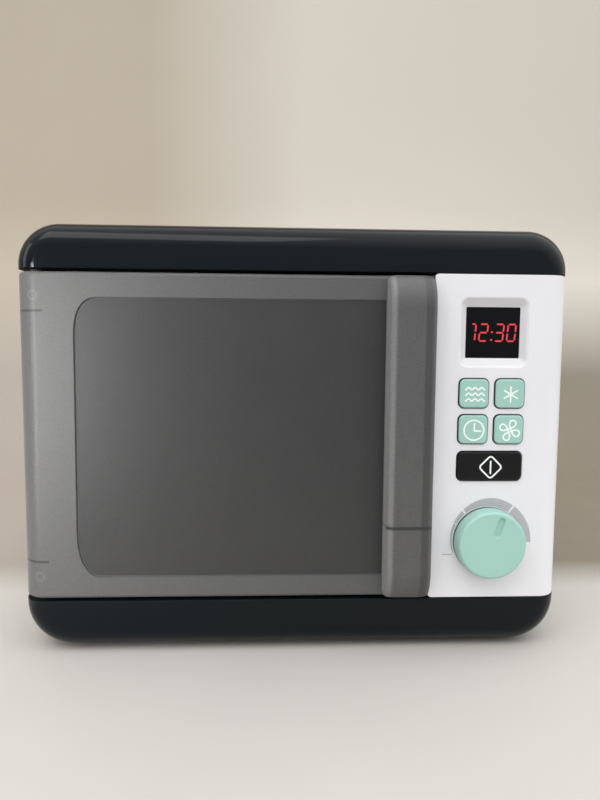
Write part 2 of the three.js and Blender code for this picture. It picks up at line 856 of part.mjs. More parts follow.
function switchPlate() {
  const rim = postRadius + plateRim;
  const width = 2 * (postHalf + rim);
  const height = postTopZ - postBottomZ + 2 * rim;
  const outline = rectangle(columnCentre, (postTopZ + postBottomZ) / 2, width, height, rim);
  const plate = carryBack(outline, plateY, plateY + plateThickness);
  const ends = [plateY - overrun, plateY + plateThickness + overrun];
  const stems = Object.values(buttons).map(([x, z]) => rodBack(stemRadius + runGap, x, z, ...ends));
  const screws = postPlaces.map(([x, z]) => screwBoreBack(x, z, ...ends));
  return cut(plate, ...stems, ...screws);
}

// The flat side that lets the shaft drive the click wheel.
function shaftFlat(gap) {
  const x = columnCentre + hubRadius - hubFlat + gap;
  const end = wheelBack + overrun;
  return block(x, x + hubRadius, wheelFront - seatGap, end, knobZ - wheelRadius, knobZ + wheelRadius);
}

function knob() {
  const front = faceY - knobProud;
  const back = faceY - seatGap;
  const side = knobRadius - knobSkirtDraft;
  const rim = roundedEdge(knobRim, smallSteps).map(([along, drawn]) => [side - drawn, front + along]);
  const profile = [
    [0, front],
    ...rim,
    [knobRadius, back],
    [knobRadius - knobWall, back],
    [side - knobWall, front + knobWall],
    [bearingRadius, front + knobWall],
    [bearingRadius, back],
    [hubRadius, back],
    [hubRadius, shaftEnd],
    [0, shaftEnd],
  ];
  const pilot = screwBoreBack(columnCentre, knobZ, shaftEnd - screwReach, shaftEnd + overrun);
  const body = turned(profile, columnCentre, 0, knobZ, "y");
  return cut(body, pilot, shaftFlat(0), pointer(front));
}

// The sunk pointer, a slot with round ends that lies along a radius.
function pointer(front) {
  const turn = (pointerAngle * Math.PI) / 180;
  const geometry = new THREE.ExtrudeGeometry(
    rectangle(0, pointerDistance, pointerWidth, pointerLength, pointerWidth / 2),
    { depth: pointerDepth + overrun, bevelEnabled: false },
  );
  geometry.rotateZ(-turn).rotateX(Math.PI / 2);
  geometry.translate(columnCentre, front + pointerDepth, knobZ);
  return solid(geometry);
}

function clickWheel() {
  const outline = new THREE.Shape();
  const steps = wheelTeeth * toothSteps;
  for (let k = 0; k < steps; k++) {
    const angle = (k / steps) * 2 * Math.PI;
    const radius = wheelRadius - wheelTooth * Math.cos(wheelTeeth * (angle - Math.PI / 2));
    const x = columnCentre + radius * Math.cos(angle);
    const z = knobZ + radius * Math.sin(angle);
    if (k) outline.lineTo(x, z);
    else outline.moveTo(x, z);
  }
  outline.closePath();
  const bore = rodBack(hubRadius + runGap, columnCentre, knobZ, wheelFront - overrun, wheelBack + overrun);
  return cut(carryBack(outline, wheelFront, wheelBack), cut(bore, shaftFlat(runGap)));
}

// A leaf with an eye round its post and a nose that drops between the teeth.
function clickSpring() {
  const y0 = (wheelFront + wheelBack - leafWidth) / 2;
  const y1 = y0 + leafWidth;
  const eye = leafPostRadius + seatGap;
  const under = leafZ - leafThickness / 2;
  const outline = new THREE.Shape();
  outline.moveTo(leafPostX, under);
  outline.lineTo(columnCentre - leafNose / 2, under);
  outline.lineTo(columnCentre, leafTip);
  outline.lineTo(columnCentre + leafNose / 2, under);
  outline.lineTo(columnCentre + leafTail, under);
  outline.lineTo(columnCentre + leafTail, under + leafThickness);
  outline.lineTo(leafPostX, under + leafThickness);
  outline.closePath();
  const ring = rodBack(eye + leafEyeWall, leafPostX, leafZ, y0, y1);
  const hole = rodBack(eye, leafPostX, leafZ, y0 - overrun, y1 + overrun);
  return cut(join(carryBack(outline, y0, y1), ring), hole);
}

function knobWasher() {
  const inner = screwHole;
  const front = wheelBack + seatGap;
  const profile = [
    [inner, front],
    [washerRadius, front],
    [washerRadius, front + washerThickness],
    [inner, front + washerThickness],
    [inner, front],
  ];
  return turned(profile, columnCentre, 0, knobZ, "y", boreSides);
}

function knobScrew() {
  return screwForward(columnCentre, knobZ, wheelBack + seatGap + washerThickness, screwReach);
}

// The door seen from above: flat in front, round at the hinge corner. It is drawn in by one amount
// at the front and the hinge side, and its back stays inside the circle that the corner swings in.
function doorRing(drawn, z) {
  const roundX = doorLeft + cornerRadius;
  const roundY = faceY + cornerRadius;
  const backReach = doorBack - hingeY;
  const bevel = hingeInset - Math.sqrt(swingRadius * swingRadius - backReach * backReach);
  const ring = [new THREE.Vector3(doorRight, faceY + drawn, z)];
  for (let k = 0; k <= cornerSteps; k++) {
    const angle = (-Math.PI / 2) * (1 + k / cornerSteps);
    const radius = cornerRadius - drawn;
    ring.push(new THREE.Vector3(roundX + radius * Math.cos(angle), roundY + radius * Math.sin(angle), z));
  }
  ring.push(new THREE.Vector3(doorLeft + drawn, faceY + wrapDepth, z));
  ring.push(new THREE.Vector3(doorLeft + bevel + drawn, doorBack, z));
  ring.push(new THREE.Vector3(doorRight, doorBack, z));
  return ring;
}

// The room inside the door, drawn in from its outside.
function doorRoom(drawn, right, z0, z1) {
  const roundX = doorLeft + cornerRadius;
  const roundY = faceY + cornerRadius;
  const plan = new THREE.Shape();
  plan.moveTo(right, faceY + drawn);
  plan.lineTo(roundX, faceY + drawn);
  plan.absarc(roundX, roundY, cornerRadius - drawn, -Math.PI / 2, -Math.PI, true);
  plan.lineTo(doorLeft + drawn, doorBack + overrun);
  plan.lineTo(right, doorBack + overrun);
  plan.closePath();
  return raise(plan, z0, z1);
}

// The pressed window: a side that leans a little, and two long corners.
function windowTool() {
  const left = doorLeft + windowSideMargin;
  const bottom = windowBottomMargin;
  const top = midHeight - windowTopMargin;
  const right = handleLeft + bite;
  const outline = new THREE.Shape();
  outline.moveTo(right, bottom);
  outline.lineTo(left + windowFootWidth, bottom);
  outline.absellipse(
    left + windowFootWidth, bottom + windowFootHeight, windowFootWidth, windowFootHeight,
    -Math.PI / 2, -Math.PI, true, 0,
  );
  outline.lineTo(left + windowLean, top - windowTopHeight);
  outline.absellipse(
    left + windowLean + windowTopWidth, top - windowTopHeight, windowTopWidth, windowTopHeight,
    Math.PI, Math.PI / 2, true, 0,
  );
  outline.lineTo(right, top);
  outline.closePath();
  return carryBack(outline, faceY - overrun, faceY + windowDepth);
}

// One level of the handle: straight sides that end in rounded front edges.
function handleRing(z, reach, drawn, base) {
  const left = handleLeft + drawn;
  const right = doorRight - handleStep - drawn;
  const front = faceY - reach;
  const across = handleEdge - drawn / 2;
  const deep = Math.min(across, base - front - bite);
  const ring = [new THREE.Vector3(left, base, z)];
  for (const side of [-1, 1])
    for (let k = 0; k <= smallSteps; k++) {
      const share = side < 0 ? k / smallSteps : 1 - k / smallSteps;
      const angle = (share * Math.PI) / 2;
      const edge = side < 0 ? left : right;
      const x = edge - side * across * (1 - Math.cos(angle));
      ring.push(new THREE.Vector3(x, front + deep * (1 - Math.sin(angle)), z));
    }
  ring.push(new THREE.Vector3(right, base, z));
  return ring;
}

// The bowed handle: it rises at both ends and stands off evenly between them.
function handleForm(drawn, base, endGap) {
  const bottom = [];
  for (let k = 0; k <= edgeSteps; k++) {
    const angle = ((k / edgeSteps) * Math.PI) / 2;
    const along = endGap + handleRamp * (1 - Math.cos(angle));
    const reach = handleEndReach + (handleReach - handleEndReach) * Math.sin(angle) - drawn;
    bottom.push([along, reach]);
  }
  const rings = bottom.map(([along, reach]) => handleRing(doorBottom + along, reach, drawn, base));
  for (const [along, reach] of bottom.reverse()) rings.push(handleRing(doorTop - along, reach, drawn, base));
  return loft(rings);
}

// Both hinge corners lie as far from their seam, one above the lower seam and one below the upper.
const hingeEnds = {
  bottom: [0, 1],
  top: [midHeight, -1],
};
const hingeBlockFront = faceY + doorWall + seatGap;
const hingeBlockBack = hingeBlockFront + hingeBlockDepth;
const hingeScrewX = hingeX + hingeScrewShift;
const hingeBossEnd = faceY + doorWall + hingeBossLength;

function doorPanel() {
  const steps = roundedEdge(doorEdge, smallSteps);
  const rings = steps.map(([along, drawn]) => doorRing(drawn, doorBottom + along));
  rings.push(...steps.map(([along, drawn]) => doorRing(drawn, doorTop - along)).reverse());
  const room = doorRoom(doorWall, doorRight - doorRim, doorBottom + doorRim, doorTop - doorRim);
  const tray = cut(loft(rings), room, windowTool());
  const bar = handleForm(0, doorBack - bite, handleStep);
  const hollow = handleForm(handleWall, doorBack + overrun, doorRim + handleStep);
  const ribTop = handleRibHeight + handleRibThickness;
  const rib = block(handleLeft, doorRight, faceY - handleReach, faceY + doorWall, handleRibHeight, ribTop);
  const nubBack = nubFront + catchNubDepth;
  const nub = block(
    doorRight - bite, doorRight + catchNubReach, nubFront, nubBack,
    catchHeight - catchNoseWidth / 2, catchHeight + catchNoseWidth / 2,
  );
  const details = [];
  const holes = [];
  for (const [seam, up] of Object.values(hingeEnds)) {
    details.push(hingeRib(seam + up * hingeRibDrop));
    const z = seam + up * hingeScrewDrop;
    details.push(rodBack(hingeBossRadius, hingeScrewX, z, faceY + doorWall - bite, hingeBossEnd));
    holes.push(screwBoreBack(hingeScrewX, z, faceY + doorWall + seatGap, hingeBossEnd + overrun));
    holes.push(rod(pinRadius + seatGap, hingeX, hingeY, seam, seam + up * (doorGap + doorRim + overrun)));
  }
  return cut(join(cut(join(tray, bar), hollow), rib.intersect(bar), nub, ...details), ...holes);
}

function hingeRib(z) {
  const half = hingeRibThickness / 2;
  const room = doorRoom(doorWall - bite, hingeX + hingeBlockWidth / 2, z - half, z + half);
  return room.intersect(block(doorLeft, hingeX + hingeBlockWidth, faceY, hingeBlockBack, z - half, z + half));
}

// A block in the door's corner that is screwed to a boss on the door and carries the hinge pin.
function hingeBlock([seam, up]) {
  const near = seam + up * (doorGap + doorRim + seatGap);
  const far = seam + up * (hingeRibDrop - hingeRibThickness / 2 - seatGap);
  const low = Math.min(near, far);
  const high = Math.max(near, far);
  const screwZ = seam + up * hingeScrewDrop;
  const room = doorRoom(doorWall + seatGap, hingeX + hingeBlockWidth / 2, low, high);
  const body = room.intersect(block(doorLeft, hingeX + hingeBlockWidth, faceY, hingeBlockBack, low, high));
  const pin = rod(pinRadius, hingeX, hingeY, near + up * bite, seam - up * (seatGap + pinLength));
  const bossHole = rodBack(hingeBossRadius + seatGap, hingeScrewX, screwZ, faceY, hingeBossEnd + seatGap);
  const bore = screwBoreBack(hingeScrewX, screwZ, faceY, hingeBlockBack + overrun);
  return cut(join(body, pin), bossHole, bore);
}

function hingeScrew([seam, up]) {
  const length = hingeBlockBack - faceY - doorWall - overrun;
  return screwForward(hingeScrewX, seam + up * hingeScrewDrop, hingeBlockBack, length);
}

function hingeWasher() {
  const inner = pinRadius + runGap;
  const outer = inner + socketWall;
  const bottom = baseSeam + seatGap;
  const top = doorBottom - seatGap;
  const profile = [[inner, bottom], [outer, bottom], [outer, top], [inner, top], [inner, bottom]];
  return turned(profile, hingeX, hingeY, 0, "z", boreSides);
}

// A leaf behind the step, whose nose reaches through the slot beside the door.
function doorCatch() {
  const x = panelLeft + wall + seatGap;
  const middle = (noseFront + noseBack) / 2;
  const leaf = block(
    x, x + catchLeafThickness, middle - catchLeafDepth / 2, middle + catchLeafDepth / 2,
    catchHeight - catchLeafHeight / 2, catchHeight + catchLeafHeight / 2,
  );
  const nose = block(
    doorRight + seatGap, x + bite, noseFront, noseBack,
    catchHeight - catchNoseWidth / 2, catchHeight + catchNoseWidth / 2,
  );
  return join(leaf, nose);
}

// Puts the finished solids in one group, with the origin under the middle of the body.
const microwave = new THREE.Group();
microwave.position.set(0, (handleReach - faceY - bodyDepth) / 2, -footBottom);

function place(name, made, kind) {
  const { vertProperties, triVerts } = made.getMesh();
  const geometry = new THREE.BufferGeometry();
  geometry.setAttribute("position", new THREE.BufferAttribute(vertProperties, 3));
  geometry.setIndex(new THREE.BufferAttribute(triVerts, 1));
  const mesh = new THREE.Mesh(geometry, material(kind));
  mesh.name = name;
  microwave.add(mesh);
}

place("base_tray", baseTray(), "anthracite");
place("top_cover", topCover(), "anthracite");
place("front_fascia", frontFascia(), "white");
place("rear_shell", rearShell(), "white");
place("cavity_liner", cavityLiner(), "cavity");
place("display_plate", displayPlate(), "display");
place("switch_plate", switchPlate(), "natural");
for (const [name, values] of Object.entries(buttons)) {
  place("button_" + name, button(values), name === "start" ? "black" : "mint");
  place("button_spring_" + name, buttonSpring(values), "steel");
}
for (const [name, end] of Object.entries(hingeEnds)) {
  place("hinge_block_" + name, hingeBlock(end), "smoked");
  place("hinge_screw_" + name, hingeScrew(end), "steel");
}
place("hinge_washer", hingeWasher(), "natural");
place("door_panel", doorPanel(), "smoked");
place("door_catch", doorCatch(), "natural");
place("knob", knob(), "mint");
place("click_wheel", clickWheel(), "natural");
place("click_spring", clickSpring(), "steel");
place("knob_washer", knobWasher(), "steel");
place("knob_screw", knobScrew(), "steel");
place("turntable", turntable(), "natural");
place("turntable_clip", turntableClip(), "steel");
columnPlaces.forEach((at, i) => {
  place("base_screw_" + (i + 1), baseScrew(at), "steel");
  place("cover_screw_" + (i + 1), coverScrew(at), "steel");
});
footPlaces().forEach((at, i) => place("foot_" + (i + 1), foot(at), "rubber"));
postPlaces.forEach(([x, z], i) => {
  const made = screwForward(x, z, plateY + plateThickness, plateThickness + plateScrewReach - seatGap);
  place("plate_screw_" + (i + 1), made, "steel");
});

export default microwave;
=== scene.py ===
"""Toy microwave oven: the finished looks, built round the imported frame."""
import math

import bmesh
import bpy
from bpy.props import FloatProperty, FloatVectorProperty, PointerProperty
from mathutils import Matrix, Vector


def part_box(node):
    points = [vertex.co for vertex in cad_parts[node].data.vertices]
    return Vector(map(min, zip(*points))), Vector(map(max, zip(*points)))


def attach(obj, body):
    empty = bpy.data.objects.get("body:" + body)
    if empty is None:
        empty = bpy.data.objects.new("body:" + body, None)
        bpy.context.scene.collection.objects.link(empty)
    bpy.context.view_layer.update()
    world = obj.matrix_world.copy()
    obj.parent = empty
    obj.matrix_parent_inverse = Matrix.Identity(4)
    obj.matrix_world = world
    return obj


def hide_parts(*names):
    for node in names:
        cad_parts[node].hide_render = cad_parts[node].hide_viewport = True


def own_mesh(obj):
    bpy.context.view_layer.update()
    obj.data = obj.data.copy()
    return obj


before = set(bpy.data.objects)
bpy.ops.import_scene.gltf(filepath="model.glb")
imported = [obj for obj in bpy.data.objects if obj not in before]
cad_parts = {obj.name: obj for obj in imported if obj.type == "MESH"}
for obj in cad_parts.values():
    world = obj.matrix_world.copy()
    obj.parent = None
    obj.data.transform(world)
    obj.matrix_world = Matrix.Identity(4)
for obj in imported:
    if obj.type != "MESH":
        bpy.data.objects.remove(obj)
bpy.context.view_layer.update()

bl_info = {
    "name": "Toy microwave oven",
    "version": (1, 0, 0),
    "blender": (4, 5, 0),
    "location": "View3D > Sidebar > Toy oven",
    "description": "Builds the shell, door, controls and screws of a toy microwave oven",
    "category": "Object",
}

# Lengths below are in millimetres. x runs from the middle of the body, y back from the front of the
# covers and z up from the seam between the base and the middle section.
MM = 0.001
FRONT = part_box("top_cover")[0].y / MM
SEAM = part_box("front_fascia")[0].z / MM

SEAT_GAP = 0.3
OVERRUN = 1.0
BITE = 0.4
COVER_OVERHANG = 0.2
BODY_DEPTH = 165.0
BODY_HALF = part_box("top_cover")[1].x / MM
MID_HALF = BODY_HALF - COVER_OVERHANG
MID_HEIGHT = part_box("front_fascia")[1].z / MM - SEAM
MID_WALL = 2.2
MID_EDGE = 0.4
FACE = COVER_OVERHANG
BACK = BODY_DEPTH - COVER_OVERHANG
FASCIA_END = 29.7
REAR_START = 30.0
LIP_INSIDE = 127.925

DOOR_LEFT = -MID_HALF
DOOR_RIGHT = DOOR_LEFT + 216.5
DOOR_LOW = 1.2
DOOR_HIGH = MID_HEIGHT - 1.2
DOOR_BACK = 21.5
DOOR_WALL = 2.2
DOOR_FRONT_WALL = 2.4
BAY = 23.7
FRAME_BACK = 25.9
FRAME_LEFT = DOOR_LEFT + 2.5
HINGE_INSET = 8.5
HINGE_X = DOOR_LEFT + HINGE_INSET
HINGE_Y = 10.2
SWING = 12.75
CORNER = 11.8
PIN_HOLE = 2.8
BOSS_X = HINGE_X + 0.9
BOSS_RISE = 13.3
WEB_RISE = 21.3
HANDLE_LEFT = DOOR_RIGHT - 24.5
HANDLE_BASE = 21.1
HANDLE_BACK = 22.5

OPENING_X = -35.475
OPENING_WIDE = 170.5
LINER_WIDE = 172.5
TABLE_Y = 88.4
LINER_FLOOR = 5.0

PANEL_LEFT = DOOR_RIGHT + 0.8
PANEL_EDGE = 2.0
COLUMN = 103.65
DISPLAY_X = COLUMN + 0.6
KNOB_Z = 31.7
START_Z = 72.5
LOW_ROW_Z = 92.4
HIGH_ROW_Z = 111.6
DISPLAY_Z = 143.8
SHEET_FRONT = 3.5
SHEET_BACK = 5.1
PLATE_Y = 13.4
PLATE_BACK = 15.4
CAP = (15.7, 15.4)
CAP_PITCH = 19.25
START_CAP = (34.95, 15.6)
BUTTONS = {
    "waves": (COLUMN - CAP_PITCH / 2, HIGH_ROW_Z, *CAP),
    "star": (COLUMN + CAP_PITCH / 2, HIGH_ROW_Z, *CAP),
    "clock": (COLUMN - CAP_PITCH / 2, LOW_ROW_Z, *CAP),
    "fan": (COLUMN + CAP_PITCH / 2, LOW_ROW_Z, *CAP),
    "start": (COLUMN, START_Z, *START_CAP),
}
PRINT_FRONT, PRINT_BACK = FACE - 0.07, FACE + 0.08

SCREW_COLUMNS = [(-133.925, 33.7), (133.925, 33.7), (-133.925, 148.6), (133.925, 148.6)]
POSTS = [(COLUMN + side * 22.275, z) for z in (HIGH_ROW_Z + 4.7, START_Z - 4.8) for side in (-1, 1)]
SCREW_HOLE = 1.7
SCREW_POST = 4.0
SCREW_SIDES = 24
SHARP_EDGE = math.radians(32)


def linear(code):
    """An sRGB hex value as the linear colour that shaders take."""
    parts = [int(code[i:i + 2], 16) / 255 for i in (1, 3, 5)]
    return [p / 12.92 if p <= 0.04045 else ((p + 0.055) / 1.055) ** 2.4 for p in parts]


# ---------------------------------------------------------------- settings

def length(name, description, millimetres):
    return FloatProperty(
        name=name, description=description, default=millimetres * MM, min=0.0,
        subtype="DISTANCE", unit="LENGTH", precision=4,
    )


def colour(name, description, code):
    return FloatVectorProperty(
        name=name, description=description, default=linear(code), size=3, min=0.0, max=1.0,
        subtype="COLOR",
    )


def power(name, description, watts):
    return FloatProperty(name=name, description=description, default=watts, unit="POWER")


class HousingSettings(bpy.types.PropertyGroup):
    wall: length("Wall", "Thickness of the covers", 2.2)
    edge: length("Front edge", "Radius of the covers' front and back edges", 12.0)
    top_corner: length("Top corner", "Radius of the top cover's corners, seen from the front", 22.0)
    base_corner: length("Base corner", "Radius of the base's corners, seen from the front", 25.0)
    seam_round: length("Seam edge", "Rounding along the covers' seams", 0.4)
    cover_colour: colour("Covers", "Colour of the base and the top cover", "#060d11")
    shell_colour: colour("Shell", "Colour of the white middle section", "#e9e9ec")


class DoorSettings(bpy.types.PropertyGroup):
    edge: length("Edge", "Rounding of the door's upper and lower edges", 2.0)
    window_depth: length("Window depth", "How deep the window is pressed in", 0.9)
    handle_reach: length("Handle reach", "How far the handle stands off the door", 12.0)
    handle_ramp: length("Handle ramp", "Length over which the handle rises at its ends", 17.0)
    colour: colour("Plastic", "Colour of the smoked plastic", "#6a6a6a")


class ControlSettings(bpy.types.PropertyGroup):
    button_proud: length("Button height", "How far the caps stand off the panel", 1.2)
    knob_rim: length("Knob edge", "Rounding of the knob's front edge", 1.5)
    stroke: length("Mark stroke", "Width of the lines printed on the caps", 0.85)
    mint: colour("Mint", "Colour of the caps and the knob", "#a0cbbf")
    black: colour("Black", "Colour of the start button", "#0b0b0c")
    digits: colour("Digits", "Colour of the printed time", "#d93843")
    dial: colour("Dial", "Colour of the band round the knob", "#b5b5b8")


class StageSettings(bpy.types.PropertyGroup):
    floor: colour("Floor", "Colour of the floor and the backdrop", "#c3c0ba")
    key: power("Key lamp", "Power of the key lamp", 2.0)
    fill: power("Front lamp", "Power of the high front lamp", 7.0)
    side: power("Side lamp", "Power of the strip lamp at the left", 0.19)
    sky: FloatProperty(name="Sky", description="Strength of the even light", default=1.8)


# ---------------------------------------------------------------- meshes

def in_frame(points):
    """Points in millimetres as places in the frame, which are in metres."""
    return [(x * MM, (y + FRONT) * MM, (z + SEAM) * MM) for x, y, z in points]


def mesh_of(points, faces):
    """A closed mesh from points in millimetres, with its faces turned outwards."""
    made = bmesh.new()
    corners = [made.verts.new(place) for place in in_frame(points)]
    for face in faces:
        made.faces.new([corners[i] for i in face])
    bmesh.ops.remove_doubles(made, verts=made.verts, dist=0.0005 * MM)
    bmesh.ops.recalc_face_normals(made, faces=made.faces)
    mesh = bpy.data.meshes.new("made")
    made.to_mesh(mesh)
    made.free()
    return mesh


def loft(rings, closed=False):
    """A closed skin over rings that all have as many points. It ends in two flat faces, or runs round
    to the first ring again."""
    count = len(rings[0])
    faces = []
    for r in range(len(rings) if closed else len(rings) - 1):
        here, there = r * count, (r + 1) % len(rings) * count
        for i in range(count):
            j = (i + 1) % count
            faces.append((here + i, here + j, there + j, there + i))
    if not closed:
        last = (len(rings) - 1) * count
        faces += [tuple(range(count)), tuple(range(last, last + count))]
    return mesh_of([point for ring in rings for point in ring], faces)


def block(x0, x1, y0, y1, z0, z1):
    return loft([[(x0, y0, z), (x1, y0, z), (x1, y1, z), (x0, y1, z)] for z in (z0, z1)])


def turned(profile, x, y, z, axis, sides=96, hollow=False):
    """A profile of (radius, place) turned about an upright axis or one that runs back."""
    count = len(profile)
    points = []
    for k in range(sides):
        a = 2 * math.pi * k / sides
        for radius, place in profile:
            across, along = radius * math.cos(a), radius * math.sin(a)
            up, back = (place, along) if axis == "Z" else (along, place)
            points.append((x + across, y + back, z + up))
    faces = []
    for k in range(sides):
        here, there = k * count, (k + 1) % sides * count
        for i in range(count if hollow else count - 1):
            j = (i + 1) % count
            faces.append((here + i, here + j, there + j, there + i))
    return mesh_of(points, faces)


def rod(radius, x, y, z0, z1, sides=48):
    return turned([(0, z0), (radius, z0), (radius, z1), (0, z1)], x, y, 0, "Z", sides)


def rod_back(radius, x, z, y0, y1, sides=48):
    return turned([(0, y0), (radius, y0), (radius, y1), (0, y1)], x, 0, z, "Y", sides)


def arc(x, y, radius, start, end, steps=12):
    """Points along an arc; the angles are in degrees."""
    angles = [math.radians(start + (end - start) * k / steps) for k in range(steps + 1)]
    return [(x + radius * math.cos(a), y + radius * math.sin(a)) for a in angles]


def rounded_rectangle(x, z, width, height, corner, steps=10):
    points = []
    for start, side, end in ((0, 1, 1), (90, -1, 1), (180, -1, -1), (270, 1, -1)):
        across, up = x + side * (width / 2 - corner), z + end * (height / 2 - corner)
        points += arc(across, up, corner, start, start + 90, steps)
    return points


def lying(outline, z):
    """An outline of (x, y) points as a ring at one height."""
    return [(x, y, z) for x, y in outline]


def upright(outline, y):
    """An outline of (x, z) points as a ring at one depth."""
    return [(x, y, z) for x, z in outline]


def carry_back(outline, y0, y1):
    return loft([upright(outline, y) for y in (y0, y1)])


def raise_up(outline, z0, z1):
    return loft([lying(outline, z) for z in (z0, z1)])


def rounding(radius, steps=8):
    """Steps over a quarter-round edge: how far along it lies and how far it is drawn in."""
    angles = [math.pi / 2 * k / steps for k in range(steps + 1)]
    return [(radius * (1 - math.cos(a)), radius * (1 - math.sin(a))) for a in angles]


def drawn_near(distance, radius):
    """How far a quarter-round edge is drawn in at a distance from its end."""
    left = max(0.0, radius - distance)
    return radius - math.sqrt(radius * radius - left * left)


def pillow(x, z, width, height, corner, front, back, edge, steps):
    """A rounded rectangle carried back, with its front edge rounded."""
    rings = []
    for along, drawn in rounding(edge, steps):
        outline = rounded_rectangle(x, z, width - 2 * drawn, height - 2 * drawn, corner - drawn)
        rings.append(upright(outline, front + along))
    return loft([*rings, upright(rounded_rectangle(x, z, width, height, corner), back)])


def in_scene(name, data):
    """A new object in the scene."""
    made = bpy.data.objects.new(name, data)
    bpy.context.scene.collection.objects.link(made)
    return made


def held(mesh, *modifiers):
    """The mesh with modifiers applied, each given as its kind and its settings."""
    holder = in_scene("holder", mesh)
    tools = []
    for kind, settings in modifiers:
        modifier = holder.modifiers.new(kind, kind)
        for key, value in settings.items():
            if isinstance(value, bpy.types.Mesh):
                value = in_scene("tool", value)
                tools.append(value)
            setattr(modifier, key, value)
    graph = bpy.context.evaluated_depsgraph_get()
    made = bpy.data.meshes.new_from_object(holder.evaluated_get(graph))
    for used in [holder, *tools]:
        spent = used.data
        bpy.data.objects.remove(used)
        bpy.data.meshes.remove(spent)
    return made


def combine(base, *steps):
    """Joins, cuts or intersects a mesh with others in turn."""
    return held(base, *[
        ("BOOLEAN", {"operation": operation, "solver": "MANIFOLD", "object": tool})
        for operation, tool in steps
    ])


def cut(base, *tools):
    return combine(base, *[("DIFFERENCE", tool) for tool in tools])


def join(base, *tools):
    return combine(base, *[("UNION", tool) for tool in tools])


def check_closed(name, mesh):
    made = bmesh.new()
    made.from_mesh(mesh)
    loose = sum(not edge.is_manifold for edge in made.edges)
    volume = made.calc_volume(signed=True)
    made.free()
    if loose or volume <= 0:
        raise RuntimeError(f"{name}: {loose} open edges, volume {volume}")


def finished(name, mesh, material, body, stands_for=()):
    """Puts a closed mesh in the scene as a piece that rides on a body."""
    check_closed(name, mesh)
    mesh.shade_smooth()
    mesh.set_sharp_from_angle(angle=SHARP_EDGE)
    mesh = held(mesh, ("WEIGHTED_NORMAL", {"keep_sharp": True}))
    mesh.name = name
    mesh.materials.clear()
    mesh.materials.append(material)
    piece = in_scene(name, mesh)
    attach(piece, body)
    if stands_for:
        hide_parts(*stands_for)


# ---------------------------------------------------------------- materials

def result(source):
    """A socket as it is, or a node's first output in use."""
    if isinstance(source, bpy.types.NodeSocket):
        return source
    return next(socket for socket in source.outputs if socket.enabled)


def add(tree, kind, inputs=None, **settings):
    """Adds a node with its settings, and fills its inputs or links them to nodes and sockets."""
    made = tree.nodes.new(kind)
    for key, value in settings.items():
        setattr(made, key, value)
    for key, value in (inputs or {}).items():
        if isinstance(value, (bpy.types.Node, bpy.types.NodeSocket)):
            tree.links.new(result(value), made.inputs[key])
        else:
            made.inputs[key].default_value = value
    return made


def feed(shader, name, source):
    """Links a shader's input to a node or a socket, in place of what fed it."""
    shader.id_data.links.new(result(source), shader.inputs[name])


def fed(shader, name):
    return shader.inputs[name].links[0].from_socket


def start_material(name, values):
    """A new material with its tree, its shader and a socket for the place on the piece."""
    material = bpy.data.materials.new(name)
    material.use_nodes = True
    tree = material.node_tree
    tree.nodes.clear()
    shader = add(tree, "ShaderNodeBsdfPrincipled", values)
    add(tree, "ShaderNodeOutputMaterial", {"Surface": shader})
    place = add(tree, "ShaderNodeTexCoord").outputs["Object"]
    return material, tree, shader, place


def speckle(tree, place, shader, gloss, relief):
    """Gives a shader patches of other roughness, from gloss as (roughness, how far it wanders, patch
    size), and layers of relief, each (grain size, height). Gives back the noise of the patches."""
    rough, spread, patch = gloss
    noise = add(tree, "ShaderNodeTexNoise", {"Vector": place, "Scale": 1 / (patch * MM), "Detail": 4.0})
    feed(shader, "Roughness", add(tree, "ShaderNodeMapRange", {
        "Value": noise, "From Min": 0.35, "From Max": 0.65,
        "To Min": rough - spread, "To Max": rough + spread,
    }))
    below = {}
    for size, height in relief:
        grain = add(tree, "ShaderNodeTexNoise", {"Vector": place, "Scale": 1 / (size * MM), "Detail": 2.0})
        below["Normal"] = add(tree, "ShaderNodeBump", {
            "Height": grain, "Distance": height * MM, "Strength": 1.0, **below,
        })
    feed(shader, "Normal", below["Normal"])
    return noise


def shared_finish(name, values, gloss, relief, low, high, details=None):
    """A material that all pieces of one finish share: values for its shader, patches of gloss, relief,
    and a colour that wanders between two near shades. details adds what this finish alone has."""
    if name in bpy.data.materials:
        return bpy.data.materials[name]
    material, tree, shader, place = start_material(name, values)
    noise = speckle(tree, place, shader, gloss, relief)
    shades = add(tree, "ShaderNodeMix", {0: noise, 6: (*low, 1), 7: (*high, 1)}, data_type="RGBA")
    feed(shader, "Base Color", shades)
    if details:
        details(tree, shader, place)
    return material


def from_middle(tree, z):
    """How far a height lies from the middle of the white section."""
    off = add(tree, "ShaderNodeMath", {0: z, 1: (SEAM + MID_HEIGHT / 2) * MM}, operation="SUBTRACT")
    return add(tree, "ShaderNodeMath", {0: off}, operation="ABSOLUTE")


def within(tree, *ranges):
    """One where each value lies between its two lengths and nought elsewhere. A range is (value, low,
    high, width of its soft ends), in millimetres."""
    whole = None
    for value, low, high, soft in ranges:
        half = (high - low) / 2
        off = add(tree, "ShaderNodeMath", {0: value, 1: (low + high) / 2 * MM}, operation="SUBTRACT")
        off = add(tree, "ShaderNodeMath", {0: off}, operation="ABSOLUTE")
        inside = add(tree, "ShaderNodeMapRange", {
            "Value": off, "From Min": (half - soft / 2) * MM, "From Max": (half + soft / 2) * MM,
            "To Min": 1.0, "To Max": 0.0,
        }, interpolation_type="SMOOTHSTEP")
        whole = add(tree, "ShaderNodeMath", {0: whole, 1: inside}, operation="MULTIPLY") if whole else inside
    return whole


